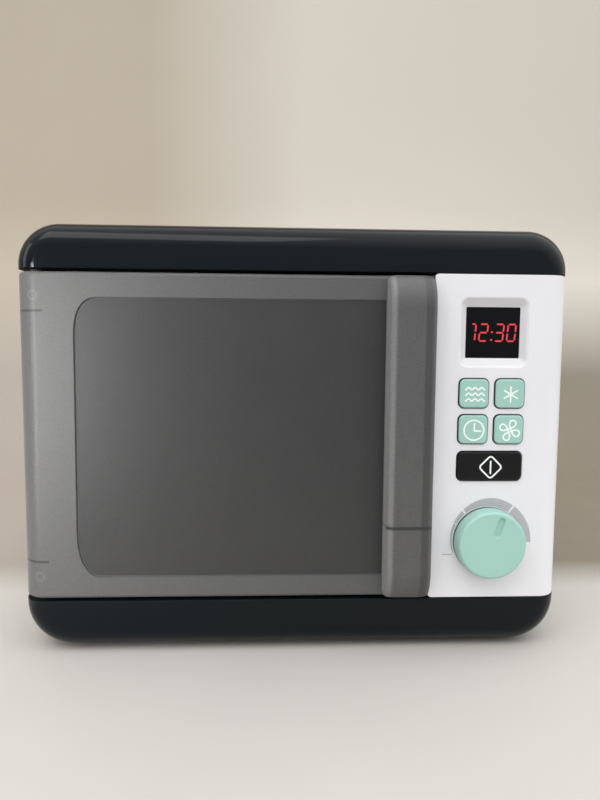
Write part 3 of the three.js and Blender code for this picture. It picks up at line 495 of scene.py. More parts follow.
def paint_over(tree, shader, *coats):
    """Lays coats over a shader's colour. A coat is (where it lies, how strong it is, its colour)."""
    for where, strength, tone in coats:
        share = add(tree, "ShaderNodeMath", {0: where, 1: strength}, operation="MULTIPLY")
        skin = {0: share, 6: fed(shader, "Base Color"), 7: (*tone, 1)}
        feed(shader, "Base Color", add(tree, "ShaderNodeMix", skin, data_type="RGBA"))


def scaled(tone, factor):
    return [min(1.0, part * factor) for part in tone]


def gloss_abs(tone):
    """ABS moulded in a polished tool: a mirror-like skin that still ripples a little like orange peel.
    The faces along the seams were left as milled, so they are dull."""
    def milled_seams(tree, shader, place):
        away = from_middle(tree, add(tree, "ShaderNodeSeparateXYZ", {0: place}).outputs[2])
        dull = within(tree, (away, 0.0, MID_HEIGHT / 2 + SEAT_GAP + 0.1, 0.3))
        polished = fed(shader, "Roughness")
        feed(shader, "Roughness", add(tree, "ShaderNodeMapRange", {
            "Value": dull, "To Min": polished, "To Max": 0.7,
        }))

    return shared_finish(
        "gloss_moulded_abs", {"IOR": 1.5, "Specular IOR Level": 0.2}, (0.1, 0.03, 22),
        [(7, 0.012), (0.9, 0.001)], scaled(tone, 0.9), scaled(tone, 1.12), milled_seams,
    )


def white_abs(tone):
    """ABS from a finely blasted tool: white with a soft sheen, a little uneven in gloss. The walls of
    the display's recess and of the button holes are painted greyer, a painted shade for the shade in them."""
    def recess_painted_shade(tree, shader, place):
        x, y, _ = add(tree, "ShaderNodeSeparateXYZ", {0: place}).outputs
        # painted shade: white surfaces near the display lying more than 0.35 mm behind the face are made
        # greyer
        recess = within(
            tree, (x, DISPLAY_X - 17.5, DISPLAY_X + 17.5, 1.0),
            (y, FRONT + FACE + 0.35, FRONT + FACE + 8.0, 0.5),
        )
        paint_over(tree, shader, (recess, 1.0, scaled(tone, 0.87)))

    return shared_finish(
        "white_moulded_abs", {"IOR": 1.53}, (0.34, 0.04, 30), [(5, 0.006), (0.5, 0.003)],
        scaled(tone, 0.975), scaled(tone, 1.01), recess_painted_shade,
    )


def satin_abs(name, tone, rough, level=0.5, foot=0.75):
    """ABS from an eroded tool: satin, with a fine even grain that softens every highlight. Its foot,
    in the gap at the panel where no light comes, is painted dark as a painted shadow."""
    def foot_painted_shadow(tree, shader, place):
        # painted shadow: the part of a cap or the knob close to the panel is darkened
        depth = add(tree, "ShaderNodeSeparateXYZ", {0: place}).outputs[1]
        gap = within(tree, (depth, FRONT + FACE - foot, FRONT + FACE + 2.0, 0.2))
        paint_over(tree, shader, (gap, 1.0, scaled(tone, 0.12)))

    values = {
        "IOR": 1.53, "Specular IOR Level": level,
        "Subsurface Weight": 0.06, "Subsurface Radius": (0.002, 0.002, 0.0015),
    }
    return shared_finish(
        name, values, (rough, 0.04, 16), [(3, 0.004), (0.45, 0.005)],
        scaled(tone, 0.97), scaled(tone, 1.03), foot_painted_shadow,
    )


def smoked_pp(tone):
    """Smoked polypropylene from an etched tool: the ribs close behind are painted in as dark lines of
    painted shade, the screw bosses as faint paler rings, and the grain breaks up each reflection. Its
    window was polished in the tool, so its grain is shallower and it looks darker. Along the handle's left
    side a painted highlight is laid on, and along its right side a painted shade. The grain is drawn at
    0.7 mm, coarser than it is."""
    name = "smoked_moulded_polypropylene"
    if name in bpy.data.materials:
        return bpy.data.materials[name]
    material, tree, shader, place = start_material(name, {
        "IOR": 1.49, "Transmission Weight": 0.4, "Sheen Weight": 0.25, "Sheen Roughness": 0.35,
    })
    polish = add(tree, "ShaderNodeAttribute", attribute_name="polish").outputs["Fac"]
    noise = add(tree, "ShaderNodeTexNoise", {"Vector": place, "Scale": 1 / (20 * MM), "Detail": 4.0})
    etched, clear = [
        add(tree, "ShaderNodeMix", {
            0: noise, 6: (*scaled(tone, low), 1), 7: (*scaled(tone, high), 1),
        }, data_type="RGBA")
        for low, high in ((0.95, 1.05), (0.33, 0.39))
    ]
    feed(shader, "Base Color", add(tree, "ShaderNodeMix", {0: polish, 6: etched, 7: clear}, data_type="RGBA"))
    x, y, z = add(tree, "ShaderNodeSeparateXYZ", {0: place}).outputs
    away = from_middle(tree, z)
    boss_centre = ((HINGE_X + 1.6) * MM, (MID_HEIGHT / 2 - BOSS_RISE) * MM, 0)
    spot = add(tree, "ShaderNodeCombineXYZ", {0: x, 1: away})
    round_boss = add(tree, "ShaderNodeVectorMath", {0: spot, 1: boss_centre}, operation="DISTANCE")
    boss = within(tree, (round_boss.outputs["Value"], 1.7, 2.6, 0.5))
    # painted shade: the webs at the hinge and the rib in the handle show as dark lines
    web_height = MID_HEIGHT / 2 - WEB_RISE
    web = within(tree, (away, web_height - 0.6, web_height + 0.6, 0.9),
                 (x, DOOR_LEFT - 5.0, HINGE_X + 6.5, 0.6))
    bar_rib = within(tree, (z, SEAM + 41.1, SEAM + 42.8, 1.2), (x, HANDLE_LEFT, DOOR_RIGHT + 5.0, 0.1))
    ribs = add(tree, "ShaderNodeMath", {0: web, 1: bar_rib}, operation="MAXIMUM")
    # painted highlight along the handle's left side and painted shade along its right side, where it stands
    # proud
    proud = (y, FRONT - 20.0, FRONT + FACE - 1.2, 1.2)
    painted_highlight_edge = within(tree, (x, DOOR_RIGHT - 30.0, DOOR_RIGHT - 21.2, 2.0), proud)
    painted_shade_edge = within(tree, (x, DOOR_RIGHT - 6.5, DOOR_RIGHT - 2.6, 1.6), proud)
    paint_over(
        tree, shader, (painted_highlight_edge, 1.0, scaled(tone, 2.0)), (painted_shade_edge, 1.0, scaled(tone, 0.62)),
        (ribs, 0.9, scaled(tone, 0.25)), (boss, 0.12, (0.6, 0.6, 0.6)),
    )
    grain = add(tree, "ShaderNodeTexNoise", {"Vector": place, "Scale": 1 / (0.7 * MM), "Detail": 2.0})
    fine = add(tree, "ShaderNodeMapRange", {
        "Value": grain, "From Min": 0.3, "From Max": 0.7, "To Min": 0.84, "To Max": 1.16,
    })
    skin = {0: 1.0, 6: fed(shader, "Base Color"), 7: fine}
    feed(shader, "Base Color", add(tree, "ShaderNodeMix", skin, data_type="RGBA", blend_type="MULTIPLY"))
    rough = add(tree, "ShaderNodeMath", {0: noise, 1: 0.06, 2: 0.39}, operation="MULTIPLY_ADD")
    feed(shader, "Roughness", rough)
    depth = add(tree, "ShaderNodeMapRange", {"Value": polish, "To Min": 1.0, "To Max": 0.3})
    bump = add(tree, "ShaderNodeBump", {"Height": grain, "Strength": depth, "Distance": 0.1 * MM})
    feed(shader, "Normal", bump)
    return material


def dark_pp(tone):
    """Natural-finish polypropylene, dark grey: waxy and a little mottled."""
    return shared_finish(
        "dark_moulded_polypropylene", {"IOR": 1.49}, (0.5, 0.06, 18), [(4, 0.01), (0.7, 0.01)],
        scaled(tone, 0.85), scaled(tone, 1.15),
    )


def acetal():
    """Unpainted acetal: off-white and slippery, with faint flow marks."""
    return shared_finish(
        "natural_acetal", {"IOR": 1.48, "Subsurface Weight": 0.1, "Subsurface Radius": (0.003, 0.003, 0.002)},
        (0.42, 0.06, 9), [(2.5, 0.01)], linear("#dcdad1"), linear("#e8e6de"),
    )


def foot_rubber():
    """Moulded rubber: dull, with a talc-like bloom and a pebbled skin."""
    return shared_finish(
        "moulded_rubber", {"Specular IOR Level": 0.35}, (0.84, 0.08, 5), [(1.2, 0.04), (0.4, 0.02)],
        linear("#242425"), linear("#363637"),
    )


def zinc_steel():
    """Zinc-plated steel: cool and bright, dulled in small patches where the plating has passivated."""
    return shared_finish(
        "zinc_plated_steel", {"Metallic": 1.0}, (0.3, 0.1, 1.6), [(0.35, 0.006)],
        linear("#9b9fa3"), linear("#c6c9cc"),
    )


def printed_ink(name, tone):
    """Pad-printed ink: an even film with a dry, slightly mottled skin."""
    return shared_finish(
        name, {"IOR": 1.5}, (0.5, 0.05, 2), [(0.3, 0.002)], scaled(tone, 0.96), scaled(tone, 1.03),
    )


def display_sheet():
    """Screen-printed acrylic sheet: deep black under a flat gloss with hairline wiping marks."""
    return shared_finish(
        "printed_acrylic_sheet", {"IOR": 1.49, "Specular IOR Level": 0.14}, (0.12, 0.04, 8), [(6, 0.002)],
        linear("#0a0b0d"), linear("#0e0f12"),
    )


def lit_digits(tone):
    """Red translucent ink: a saturated red given a faint painted glow, as if lit from behind."""
    def painted_glow(_tree, shader, _place):
        # painted glow: the ink's own colour is fed in as emission
        feed(shader, "Emission Color", fed(shader, "Base Color"))

    return shared_finish(
        "red_display_ink", {"Emission Strength": 0.28}, (0.4, 0.05, 1.5), [(0.3, 0.002)],
        scaled(tone, 0.8), scaled(tone, 1.15), painted_glow,
    )


# ---------------------------------------------------------------- covers

COVER_SKIRT = 2.0
SOCKET_RADIUS, SOCKET_DEPTH, PIN_DEPTH = 5.2, 10.4, 8.3
FOOT_SETBACK, FOOT_Y = 15, 27.0


def dome(half, skirt, corner, edge, front, back, foot, up, seam, edge_round, steps):
    """A cover as one rounded form: flat at the seam, two round corners seen from the front, and
    front and back edges that draw that outline in."""
    places = [(front + along, drawn) for along, drawn in rounding(edge, steps)]
    places += [(back - along, drawn) for along, drawn in reversed(rounding(edge, steps))]
    rings = []
    for y, drawn in places:
        lift = drawn_near(min(y - front, back - y), edge_round) if edge_round else 0.0
        side = []
        for k in range(7):
            a = math.pi / 2 * k / 6
            x = half - drawn - edge_round * (1 - math.sin(a))
            side.append((x, max(lift, edge_round * (1 - math.cos(a))) - foot))
        bend = corner - drawn
        for k in range(2 * steps + 1):
            a = math.pi / 2 * k / (2 * steps)
            side.append((half - corner + bend * math.cos(a), skirt + bend * math.sin(a)))
        ring = [(-x, y, seam + up * z) for x, z in side]
        rings.append(ring + [(x, y, seam + up * z) for x, z in reversed(side)])
    return loft(rings)


def cover_shell(housing, corner, up, seam):
    """The hollow form that the base and the top cover share, with its deck, hinge socket and posts."""
    wall, edge, seam_round = housing.wall / MM, housing.edge / MM, housing.seam_round / MM
    top = seam + up * (COVER_SKIRT + corner)
    sizes = (BODY_HALF, COVER_SKIRT, corner, edge, 0.0, BODY_DEPTH, 0.0, up, seam, seam_round, 16)
    inner = dome(
        BODY_HALF - wall, COVER_SKIRT, corner - wall, edge - wall, wall, BODY_DEPTH - wall,
        OVERRUN, up, seam, 0.0, 8,
    )
    deck = block(-BODY_HALF + 1, BODY_HALF - 1, seam_round, FRAME_BACK, seam, seam + up * wall)
    socket = rod(SOCKET_RADIUS, HINGE_X, HINGE_Y, seam, seam + up * SOCKET_DEPTH)
    posts = [rod(SCREW_POST, x, y, seam, top) for x, y in SCREW_COLUMNS]
    inside = combine(join(deck, socket, *posts), ("INTERSECT", dome(*sizes)))
    pin_hole = rod(PIN_HOLE, HINGE_X, HINGE_Y, seam - up * OVERRUN, seam + up * PIN_DEPTH)
    return cut(join(cut(dome(*sizes), inner), inside), pin_hole)


def foot_places(corner):
    x = BODY_HALF - corner - FOOT_SETBACK
    return [(side * x, y) for y in (FOOT_Y, BODY_DEPTH - FOOT_Y) for side in (-1, 1)]


class TOYOVEN_OT_covers(bpy.types.Operator):
    """Makes the glossy top cover and the base"""
    bl_idname = "toyoven.covers"
    bl_label = "Covers"

    def execute(self, context):
        housing = context.scene.toyoven_housing
        material = gloss_abs(housing.cover_colour)
        seam = MID_HEIGHT + SEAT_GAP
        hole_top = seam + 11
        holes = [rod(SCREW_HOLE, x, y, seam - OVERRUN, hole_top, SCREW_SIDES) for x, y in SCREW_COLUMNS]
        top = cut(cover_shell(housing, housing.top_corner / MM, 1, seam), *holes)
        finished("cover_top", top, material, "housing", ["top_cover"])
        corner = housing.base_corner / MM
        bottom = -SEAT_GAP - COVER_SKIRT - corner
        head_room, head_seat = 3.1, -SEAT_GAP - 10
        tools = []
        for x, y in SCREW_COLUMNS:
            tools.append(rod(SCREW_HOLE, x, y, bottom - OVERRUN, OVERRUN, SCREW_SIDES))
            tools.append(rod(head_room, x, y, bottom - OVERRUN, head_seat))
        pocket, pocket_top = 8.3, bottom + 1.5
        tools += [rod(pocket, x, y, bottom - OVERRUN, pocket_top, 64) for x, y in foot_places(corner)]
        base = cut(cover_shell(housing, corner, -1, -SEAT_GAP), *tools)
        finished("base", base, material, "housing", ["base_tray"])
        return {"FINISHED"}


# ---------------------------------------------------------------- middle section

def lips(x0, x1, y0, y1, column):
    """Lips along the upper and lower edges, with a screw column on the lower one."""
    x, y = column
    lower = block(x0, x1, y0, y1, 0, MID_WALL)
    upper = block(x0, x1, y0, y1, MID_HEIGHT - MID_WALL, MID_HEIGHT)
    return [lower, upper, rod(SCREW_POST, x, y, 0, 14.0)]


def lip_holes(column):
    x, y = column
    return [
        rod(SCREW_HOLE, x, y, -OVERRUN, 11.0, SCREW_SIDES),
        rod(SCREW_HOLE, x, y, MID_HEIGHT - 3.2, MID_HEIGHT + OVERRUN, SCREW_SIDES),
    ]


def levels(radius):
    """Heights along the middle section, close together where its edges are rounded."""
    near = [along for along, _ in rounding(radius)]
    return near + [MID_HEIGHT - z for z in reversed(near)]


def panel_ring(z):
    """The fascia seen from above at one height."""
    gap = min(z, MID_HEIGHT - z)
    drawn = drawn_near(gap, MID_EDGE)
    front = FACE + drawn
    left = PANEL_LEFT + drawn_near(gap, PANEL_EDGE)
    round_x, round_y = MID_HALF - CORNER, FACE + CORNER
    edge = 0.7
    outline = arc(left + edge, front + edge, edge, 180, 270, 6)
    outline += arc(round_x, round_y, CORNER - drawn, 270, 360, 20)
    outline += [(MID_HALF - drawn, FASCIA_END), (MID_HALF - MID_WALL, FASCIA_END)]
    outline += arc(round_x, round_y, CORNER - MID_WALL, 0, -90, 12)
    outline += [
        (PANEL_LEFT + MID_WALL, FACE + MID_WALL), (PANEL_LEFT + MID_WALL, FRAME_BACK),
        (FRAME_LEFT, FRAME_BACK), (FRAME_LEFT, BAY), (left, BAY),
    ]
    return lying(outline, z)


def flared_hole(outline, front, back, flare):
    """A hole through the panel whose front edge is rounded. outline(grown) gives its points."""
    rings = [upright(outline(flare), front - OVERRUN)]
    rings += [upright(outline(drawn), front + along) for along, drawn in rounding(flare, 5)]
    return loft([*rings, upright(outline(0.0), back)])


def button_hole(x, z, width, height):
    def outline(grown):
        more = 2 * (0.4 + grown)
        return rounded_rectangle(x, z, width + more, height + more, 3.2 + grown)
    return flared_hole(outline, FACE, 3.4, 0.35)


def display_recess():
    """The sloping recess, with a rounded rim in front and a small step at its foot."""
    wide, high, corner, slope = 36.0, 35.6, 4.2, 3.62
    profile = [(-0.9, -1.0), (-0.9, 0.0), (-0.5, 0.06), (-0.15, 0.24), (0.12, 0.55)]
    profile += [(3.3, 2.55), (slope, 2.65), (slope, 3.0)]
    rings = []
    for drawn, depth in profile:
        share = drawn / slope
        outline = rounded_rectangle(
            DISPLAY_X, DISPLAY_Z, wide - 2 * 3.4 * share, high - 2 * 4.3 * share,
            corner - 3.6 * share if share > 0 else corner - drawn,
        )
        rings.append(upright(outline, FACE + depth))
    pocket = carry_back(rounded_rectangle(DISPLAY_X, DISPLAY_Z, 32.2, 30.0, 2.0), 3.2 - 0.01, 6.1)
    return join(loft(rings), pocket)


def opening_tool():
    low, high = 6.0, MID_HEIGHT - 11.0
    outline = rounded_rectangle(OPENING_X, (low + high) / 2, OPENING_WIDE, high - low, 8.0)
    return carry_back(outline, BAY - OVERRUN, FRAME_BACK + OVERRUN)


def fascia():
    right_lip, lip_front, lip_back, root = MID_HALF - 2.5, 12.0, 39.7, 2.0
    added = lips(FRAME_LEFT, -LIP_INSIDE, 25.5, lip_back, SCREW_COLUMNS[0])
    added += lips(LIP_INSIDE, right_lip, lip_front, lip_back, SCREW_COLUMNS[1])
    for z0, z1 in ((0, MID_WALL), (MID_HEIGHT - MID_WALL, MID_HEIGHT)):
        added.append(block(right_lip - BITE, MID_HALF - 1.8, lip_front, 29.4, z0 + 0.02, z1 - 0.02))
    added += [rod_back(3.0, x, z, root, PLATE_Y - SEAT_GAP, 32) for x, z in POSTS]
    knob_bearing = rod_back(6.5, COLUMN, KNOB_Z, root, 6.4)
    click_post = rod_back(2.0, COLUMN - 16, KNOB_Z + 12.3, root, 9.7, 32)
    sheet_frame = carry_back(rounded_rectangle(DISPLAY_X, DISPLAY_Z, 35.8, 33.6, 2.0), root, SHEET_BACK)
    removed = [opening_tool(), display_recess()]
    removed += [button_hole(*button) for button in BUTTONS.values()]
    removed += [rod_back(SCREW_HOLE, x, z, 7.1, PLATE_Y, SCREW_SIDES) for x, z in POSTS]
    shaft_hole = rod_back(4.3, COLUMN, KNOB_Z, FACE - OVERRUN, 7.4)
    removed += [shaft_hole, *lip_holes(SCREW_COLUMNS[0]), *lip_holes(SCREW_COLUMNS[1])]
    catch_slot = block(PANEL_LEFT - 1, PANEL_LEFT + 3.2, 12.3, 16.1, 83.6, 90.4)
    panel = loft([panel_ring(z) for z in levels(PANEL_EDGE)])
    panel = join(panel, *added, knob_bearing, click_post, sheet_frame)
    return cut(panel, *removed, catch_slot)


def rear_ring(z):
    """The rear moulding seen from above at one height."""
    drawn = drawn_near(min(z, MID_HEIGHT - z), MID_EDGE)
    swing, inner_side = SWING + 0.75, HINGE_INSET - MID_WALL
    start = HINGE_Y + math.sqrt(swing * swing - inner_side * inner_side)
    round_x, round_y = MID_HALF - CORNER, BACK - CORNER
    outline = [(-MID_HALF + drawn, start)]
    outline += arc(-round_x, round_y, CORNER - drawn, 180, 90, 20)
    outline += arc(round_x, round_y, CORNER - drawn, 90, 0, 20)
    outline += [(MID_HALF - drawn, REAR_START), (MID_HALF - MID_WALL, REAR_START)]
    outline += arc(round_x, round_y, CORNER - MID_WALL, 0, 90)
    outline += arc(-round_x, round_y, CORNER - MID_WALL, 90, 180)
    outline += [(MID_WALL - MID_HALF, start)]
    return lying(outline, z)


def rear_wall():
    side, lip_front, back = MID_HALF - 1.8, 40.0, BACK - CORNER + 4.65
    added = lips(-side, -LIP_INSIDE, lip_front, back, SCREW_COLUMNS[2])
    added += lips(LIP_INSIDE, side, lip_front, back, SCREW_COLUMNS[3])
    holes = lip_holes(SCREW_COLUMNS[2]) + lip_holes(SCREW_COLUMNS[3])
    return cut(join(loft([rear_ring(z) for z in levels(MID_EDGE)]), *added), *holes)


class TOYOVEN_OT_middle(bpy.types.Operator):
    """Makes the white fascia with the control panel, and the white rear moulding"""
    bl_idname = "toyoven.middle"
    bl_label = "Middle section"

    def execute(self, context):
        material = white_abs(context.scene.toyoven_housing.shell_colour)
        finished("control_panel", fascia(), material, "housing", ["front_fascia"])
        finished("rear_wall", rear_wall(), material, "housing", ["rear_shell"])
        return {"FINISHED"}


# ---------------------------------------------------------------- oven cavity

class TOYOVEN_OT_cavity(bpy.types.Operator):
    """Makes the cavity liner and the turning plate"""
    bl_idname = "toyoven.cavity"
    bl_label = "Cavity"

    def execute(self, context):
        z, height, corner = (LINER_FLOOR + MID_HEIGHT - 10.0) / 2, MID_HEIGHT - 15.0, 8.0
        front, back, wall = 26.2, 152.6, 2.0
        outline = rounded_rectangle(OPENING_X, z, LINER_WIDE + 2 * wall, height + 2 * wall, corner + wall)
        outer = carry_back(outline, front, back)
        mouth = rounded_rectangle(OPENING_X, z, LINER_WIDE, height, corner)
        rings = [upright(mouth, front - OVERRUN)]
        for along, drawn in reversed(rounding(3.0, 6)):
            outline = rounded_rectangle(
                OPENING_X, z, LINER_WIDE - 2 * drawn, height - 2 * drawn, corner - drawn,
            )
            rings.append(upright(outline, back - wall - along))
        ridge = [(29.0, 4.6), (31.0, 4.6), (31.0, 5.6), (30.6, 6.0), (29.4, 6.0), (29.0, 5.6)]
        tub = join(cut(outer, loft(rings)), turned(ridge, OPENING_X, TABLE_Y, 0, "Z", 96, True))
        tub = cut(tub, rod(5.3, OPENING_X, TABLE_Y, 2.0, 6.0))
        material = dark_pp(linear("#3c3d40"))
        finished("oven_cavity", tub, material, "housing", ["cavity_liner"])
        bottom, top, radius = 6.3, 8.3, 58.7
        profile = [
            (0, 0.1), (4.0, 0.1), (4.0, 1.2), (3.1, 1.2), (3.1, 2.7), (5.0, 2.7), (5.0, bottom),
            (radius - 3.4, bottom), (radius - 1.2, bottom + 0.5), (radius, bottom + 2.0),
            (radius, top + 3.6), (radius - 0.4, top + 4.0), (radius - 0.9, top + 4.0),
            (radius - 1.3, top + 3.6), (radius - 1.7, top + 1.2), (radius - 2.9, top + 0.15),
            (radius - 4.0, top), (0.45 * radius, top), (0.43 * radius, top - 0.5),
            (0.4 * radius, top - 0.5), (0.38 * radius, top), (0, top),
        ]
        plate = turned(profile, OPENING_X, TABLE_Y, 0, "Z", 128)
        finished("turning_plate_dish", plate, acetal(), "turning_plate", ["turntable"])
        return {"FINISHED"}


# ---------------------------------------------------------------- door

def door_ring(drawn, z):
    """The door seen from above, drawn in at the front and the hinge side."""
    reach = DOOR_BACK - HINGE_Y
    bevel = HINGE_INSET - math.sqrt(SWING * SWING - reach * reach)
    outline = [(DOOR_RIGHT, FACE + drawn)]
    outline += arc(DOOR_LEFT + CORNER, FACE + CORNER, CORNER - drawn, 270, 180, 24)
    outline += [(DOOR_LEFT + drawn, 19.7), (DOOR_LEFT + bevel + drawn, DOOR_BACK), (DOOR_RIGHT, DOOR_BACK)]
    return lying(outline, z)


def door_room(drawn, right, z0, z1):
    """The room inside the door, drawn in from its outside."""
    outline = [(right, FACE + drawn)]
    outline += arc(DOOR_LEFT + CORNER, FACE + CORNER, CORNER - drawn, 270, 180, 16)
    outline += [(DOOR_LEFT + drawn, DOOR_BACK + OVERRUN), (right, DOOR_BACK + OVERRUN)]
    return raise_up(outline, z0, z1)


def window_outline(drawn):
    """The window: a side that leans a little and two corners that are higher than wide."""
    left, low, high = DOOR_LEFT + 29.9, 12.7, MID_HEIGHT - 14.2
    right = DOOR_RIGHT - 24.1
    wide, upper_wide, lower_high, upper_high = 13.0, 12.5, 25.0, 20.0
    outline = [(right, low + drawn), (left + wide, low + drawn)]
    for k in range(1, 25):
        a = math.pi / 2 * k / 24
        across, up = math.sin(a) ** 0.85, math.cos(a) ** 0.85
        outline.append((left + wide - (wide - drawn) * across, low + lower_high - (lower_high - drawn) * up))
    for k in range(25):
        a = math.pi / 2 * k / 24
        across, up = abs(math.cos(a)) ** 0.85, math.sin(a) ** 0.85
        x, z = left + wide - (upper_wide - drawn) * across, high - upper_high + (upper_high - drawn) * up
        outline.append((x, z))
    return outline + [(right, high - drawn)]


def window_tool(depth):
    profile = [(-0.4, -1.0), (-0.4, 0.0), (-0.16, 0.08 * depth), (0.0, 0.4 * depth), (0.06, 1.3 * depth)]
    profile += [(0.62, 1.3 * depth), (0.75, depth), (1.2, depth)]
    return loft([upright(window_outline(drawn), FACE + y) for drawn, y in profile])


def handle_form(door, drawn, base, end_gap, end_round, steps):
    """The bowed handle: it rises at both ends and stands off evenly between them."""
    reach_full, reach_least, ramp = door.handle_reach / MM, 1.2, door.handle_ramp / MM
    places = []
    for k in range(steps + 1):
        a = math.pi / 2 * k / steps
        along = ramp * (1 - math.cos(a))
        reach = reach_least + (reach_full - reach_least) * math.sin(a) - drawn
        places.append((end_gap + along, reach, drawn_near(along, end_round) if end_round else 0.0))
    low = [(DOOR_LOW + along, reach, inset) for along, reach, inset in places]
    high = [(DOOR_HIGH - along, reach, inset) for along, reach, inset in reversed(places)]
    rings = []
    for z, reach, inset in low + high:
        left, right = HANDLE_LEFT + drawn + inset, DOOR_RIGHT - 0.2 - drawn - inset
        front = FACE - reach
        across = 3.2 - drawn / 2
        deep = min(across, base - front - BITE)
        ring = [(left, base, z)]
        for side, edge in ((-1, left), (1, right)):
            for k in range(steps + 1):
                share = k / steps if side < 0 else 1 - k / steps
                a = share * math.pi / 2
                ring.append((edge - side * across * (1 - math.cos(a)), front + deep * (1 - math.sin(a)), z))
        rings.append(ring + [(right, base, z)])
    return loft(rings)


def mark_polish(mesh, depth):
    """Marks the faces at the bottom of the pressed window."""
    floor = (FACE + depth + FRONT) * MM
    marks = mesh.attributes.new("polish", "FLOAT", "FACE")
    values = [0.0] * len(mesh.polygons)
    for face in mesh.polygons:
        depths = [mesh.vertices[i].co.y for i in face.vertices]
        if max(depths) - min(depths) < 0.01 * MM and abs(depths[0] - floor) < 0.02 * MM:
            values[face.index] = 1.0
    marks.data.foreach_set("value", values)
    if not any(values):
        raise RuntimeError("the door has no window floor to polish")


def door_mesh(door):
    steps = rounding(door.edge / MM, 8)
    rings = [door_ring(drawn, DOOR_LOW + along) for along, drawn in steps]
    rings += [door_ring(drawn, DOOR_HIGH - along) for along, drawn in reversed(steps)]
    room = door_room(DOOR_FRONT_WALL, DOOR_RIGHT - DOOR_WALL, DOOR_LOW + DOOR_WALL, DOOR_HIGH - DOOR_WALL)
    tray = cut(loft(rings), room, window_tool(door.window_depth / MM))
    bar = handle_form(door, 0.0, HANDLE_BASE, 0.2, 3.5, 12)
    hollow = handle_form(door, DOOR_WALL, HANDLE_BACK, 2.4, 0.0, 8)
    rib = block(HANDLE_LEFT, DOOR_RIGHT - 0.3, FACE - 12.0, FACE + DOOR_FRONT_WALL, 41.3, 42.6)
    rib = combine(rib, ("INTERSECT", handle_form(door, 0.05, HANDLE_BASE, 0.2, 3.5, 12)))
    catch_lug = block(DOOR_RIGHT - 0.4, DOOR_RIGHT + 0.5, 16.7, 18.2, 84.0, 90.0)
    details = [rib, catch_lug]
    holes = []
    for seam, up in ((0.0, 1), (MID_HEIGHT, -1)):
        z = seam + up * WEB_RISE
        low, high = z - 0.5, z + 0.5
        web = door_room(2.0, HINGE_X + 5.5, low, high)
        front_part = block(DOOR_LEFT, HINGE_X + 11, FACE, 14.9, low, high)
        details.append(combine(web, ("INTERSECT", front_part)))
        z = seam + up * BOSS_RISE
        details.append(rod_back(2.6, BOSS_X, z, 2.2, 7.6, 32))
        holes.append(rod_back(SCREW_HOLE, BOSS_X, z, 2.9, 8.6, SCREW_SIDES))
        holes.append(rod(PIN_HOLE, HINGE_X, HINGE_Y, seam, seam + up * 4.4))
    return cut(join(cut(join(tray, bar), hollow), *details), *holes)


class TOYOVEN_OT_door(bpy.types.Operator):
    """Makes the smoked door with its pressed window and its hollow handle"""
    bl_idname = "toyoven.door"
    bl_label = "Door"

    def execute(self, context):
        door = context.scene.toyoven_door
        mesh = door_mesh(door)
        mark_polish(mesh, door.window_depth / MM)
        finished("door_moulding", mesh, smoked_pp(door.colour), "door", ["door_panel"])
        return {"FINISHED"}


# ---------------------------------------------------------------- pieces grown from points

def growth_tree(name, sizes):
    """A tree that grows pieces on points, with an input for each named size, and those inputs."""
    tree = bpy.data.node_groups.new(name, "GeometryNodeTree")
    face = tree.interface
    face.new_socket(name="Geometry", in_out="INPUT", socket_type="NodeSocketGeometry")
    for size, value in sizes.items():
        face.new_socket(name=size, in_out="INPUT", socket_type="NodeSocketFloat").default_value = value
    face.new_socket(name="Geometry", in_out="OUTPUT", socket_type="NodeSocketGeometry")
    return tree, add(tree, "NodeGroupInput").outputs


def stand(tree, shape, height):
    """Lifts a shape that is centred on the ground until it stands on it."""
    half = add(tree, "ShaderNodeMath", {0: height, 1: 0.5}, operation="MULTIPLY")
    up = add(tree, "ShaderNodeCombineXYZ", {2: half})
    return add(tree, "GeometryNodeTransform", {"Geometry": shape, "Translation": up})


def swell(tree, shape, factor):
    """Scales a shape about its upright axis by a factor that changes over it."""
    position = add(tree, "GeometryNodeInputPosition")
    factors = add(tree, "ShaderNodeCombineXYZ", {0: factor, 1: factor, 2: 1.0})
    place = add(tree, "ShaderNodeVectorMath", {0: position, 1: factors}, operation="MULTIPLY")
    return add(tree, "GeometryNodeSetPosition", {"Geometry": shape, "Position": place})


def put_on_points(tree, points, shape, turns):
    """A real copy of a shape on each point, turned and sized as the inputs in turns say."""
    placed = add(tree, "GeometryNodeInstanceOnPoints", {"Points": points, "Instance": shape, **turns})
    return add(tree, "GeometryNodeRealizeInstances", {0: placed})


def end_tree(tree, shape, material):
    coated = add(tree, "GeometryNodeSetMaterial", {"Geometry": shape, "Material": material})
    add(tree, "NodeGroupOutput", {0: coated})


def grown_from_points(name, places, attributes, tree, values, body, stands_for=()):
    """Runs a tree on loose points and keeps what it makes as a plain piece that rides on a body."""
    points = bpy.data.meshes.new(name)
    points.from_pydata(in_frame(places), [], [])
    for key, numbers in attributes.items():
        points.attributes.new(key, "FLOAT", "POINT").data.foreach_set("value", numbers)
    holder = in_scene(name, points)
    modifier = holder.modifiers.new("grown", "NODES")
    modifier.node_group = tree
    for item in tree.interface.items_tree:
        if item.in_out == "INPUT" and item.name in values:
            modifier[item.identifier] = values[item.name]
    graph = bpy.context.evaluated_depsgraph_get()
    mesh = bpy.data.meshes.new_from_object(holder.evaluated_get(graph))
    holder.modifiers.remove(modifier)
    bpy.data.objects.remove(holder)
    bpy.data.meshes.remove(points)
    material = next(kept for kept in mesh.materials if kept)
    finished(name, mesh, material, body, stands_for)


# ---------------------------------------------------------------- display

DIGIT_HIGH, DIGIT_WIDE, DIGIT_STROKE, DIGIT_LOW = 8.9, 4.2, 0.85, 139.4


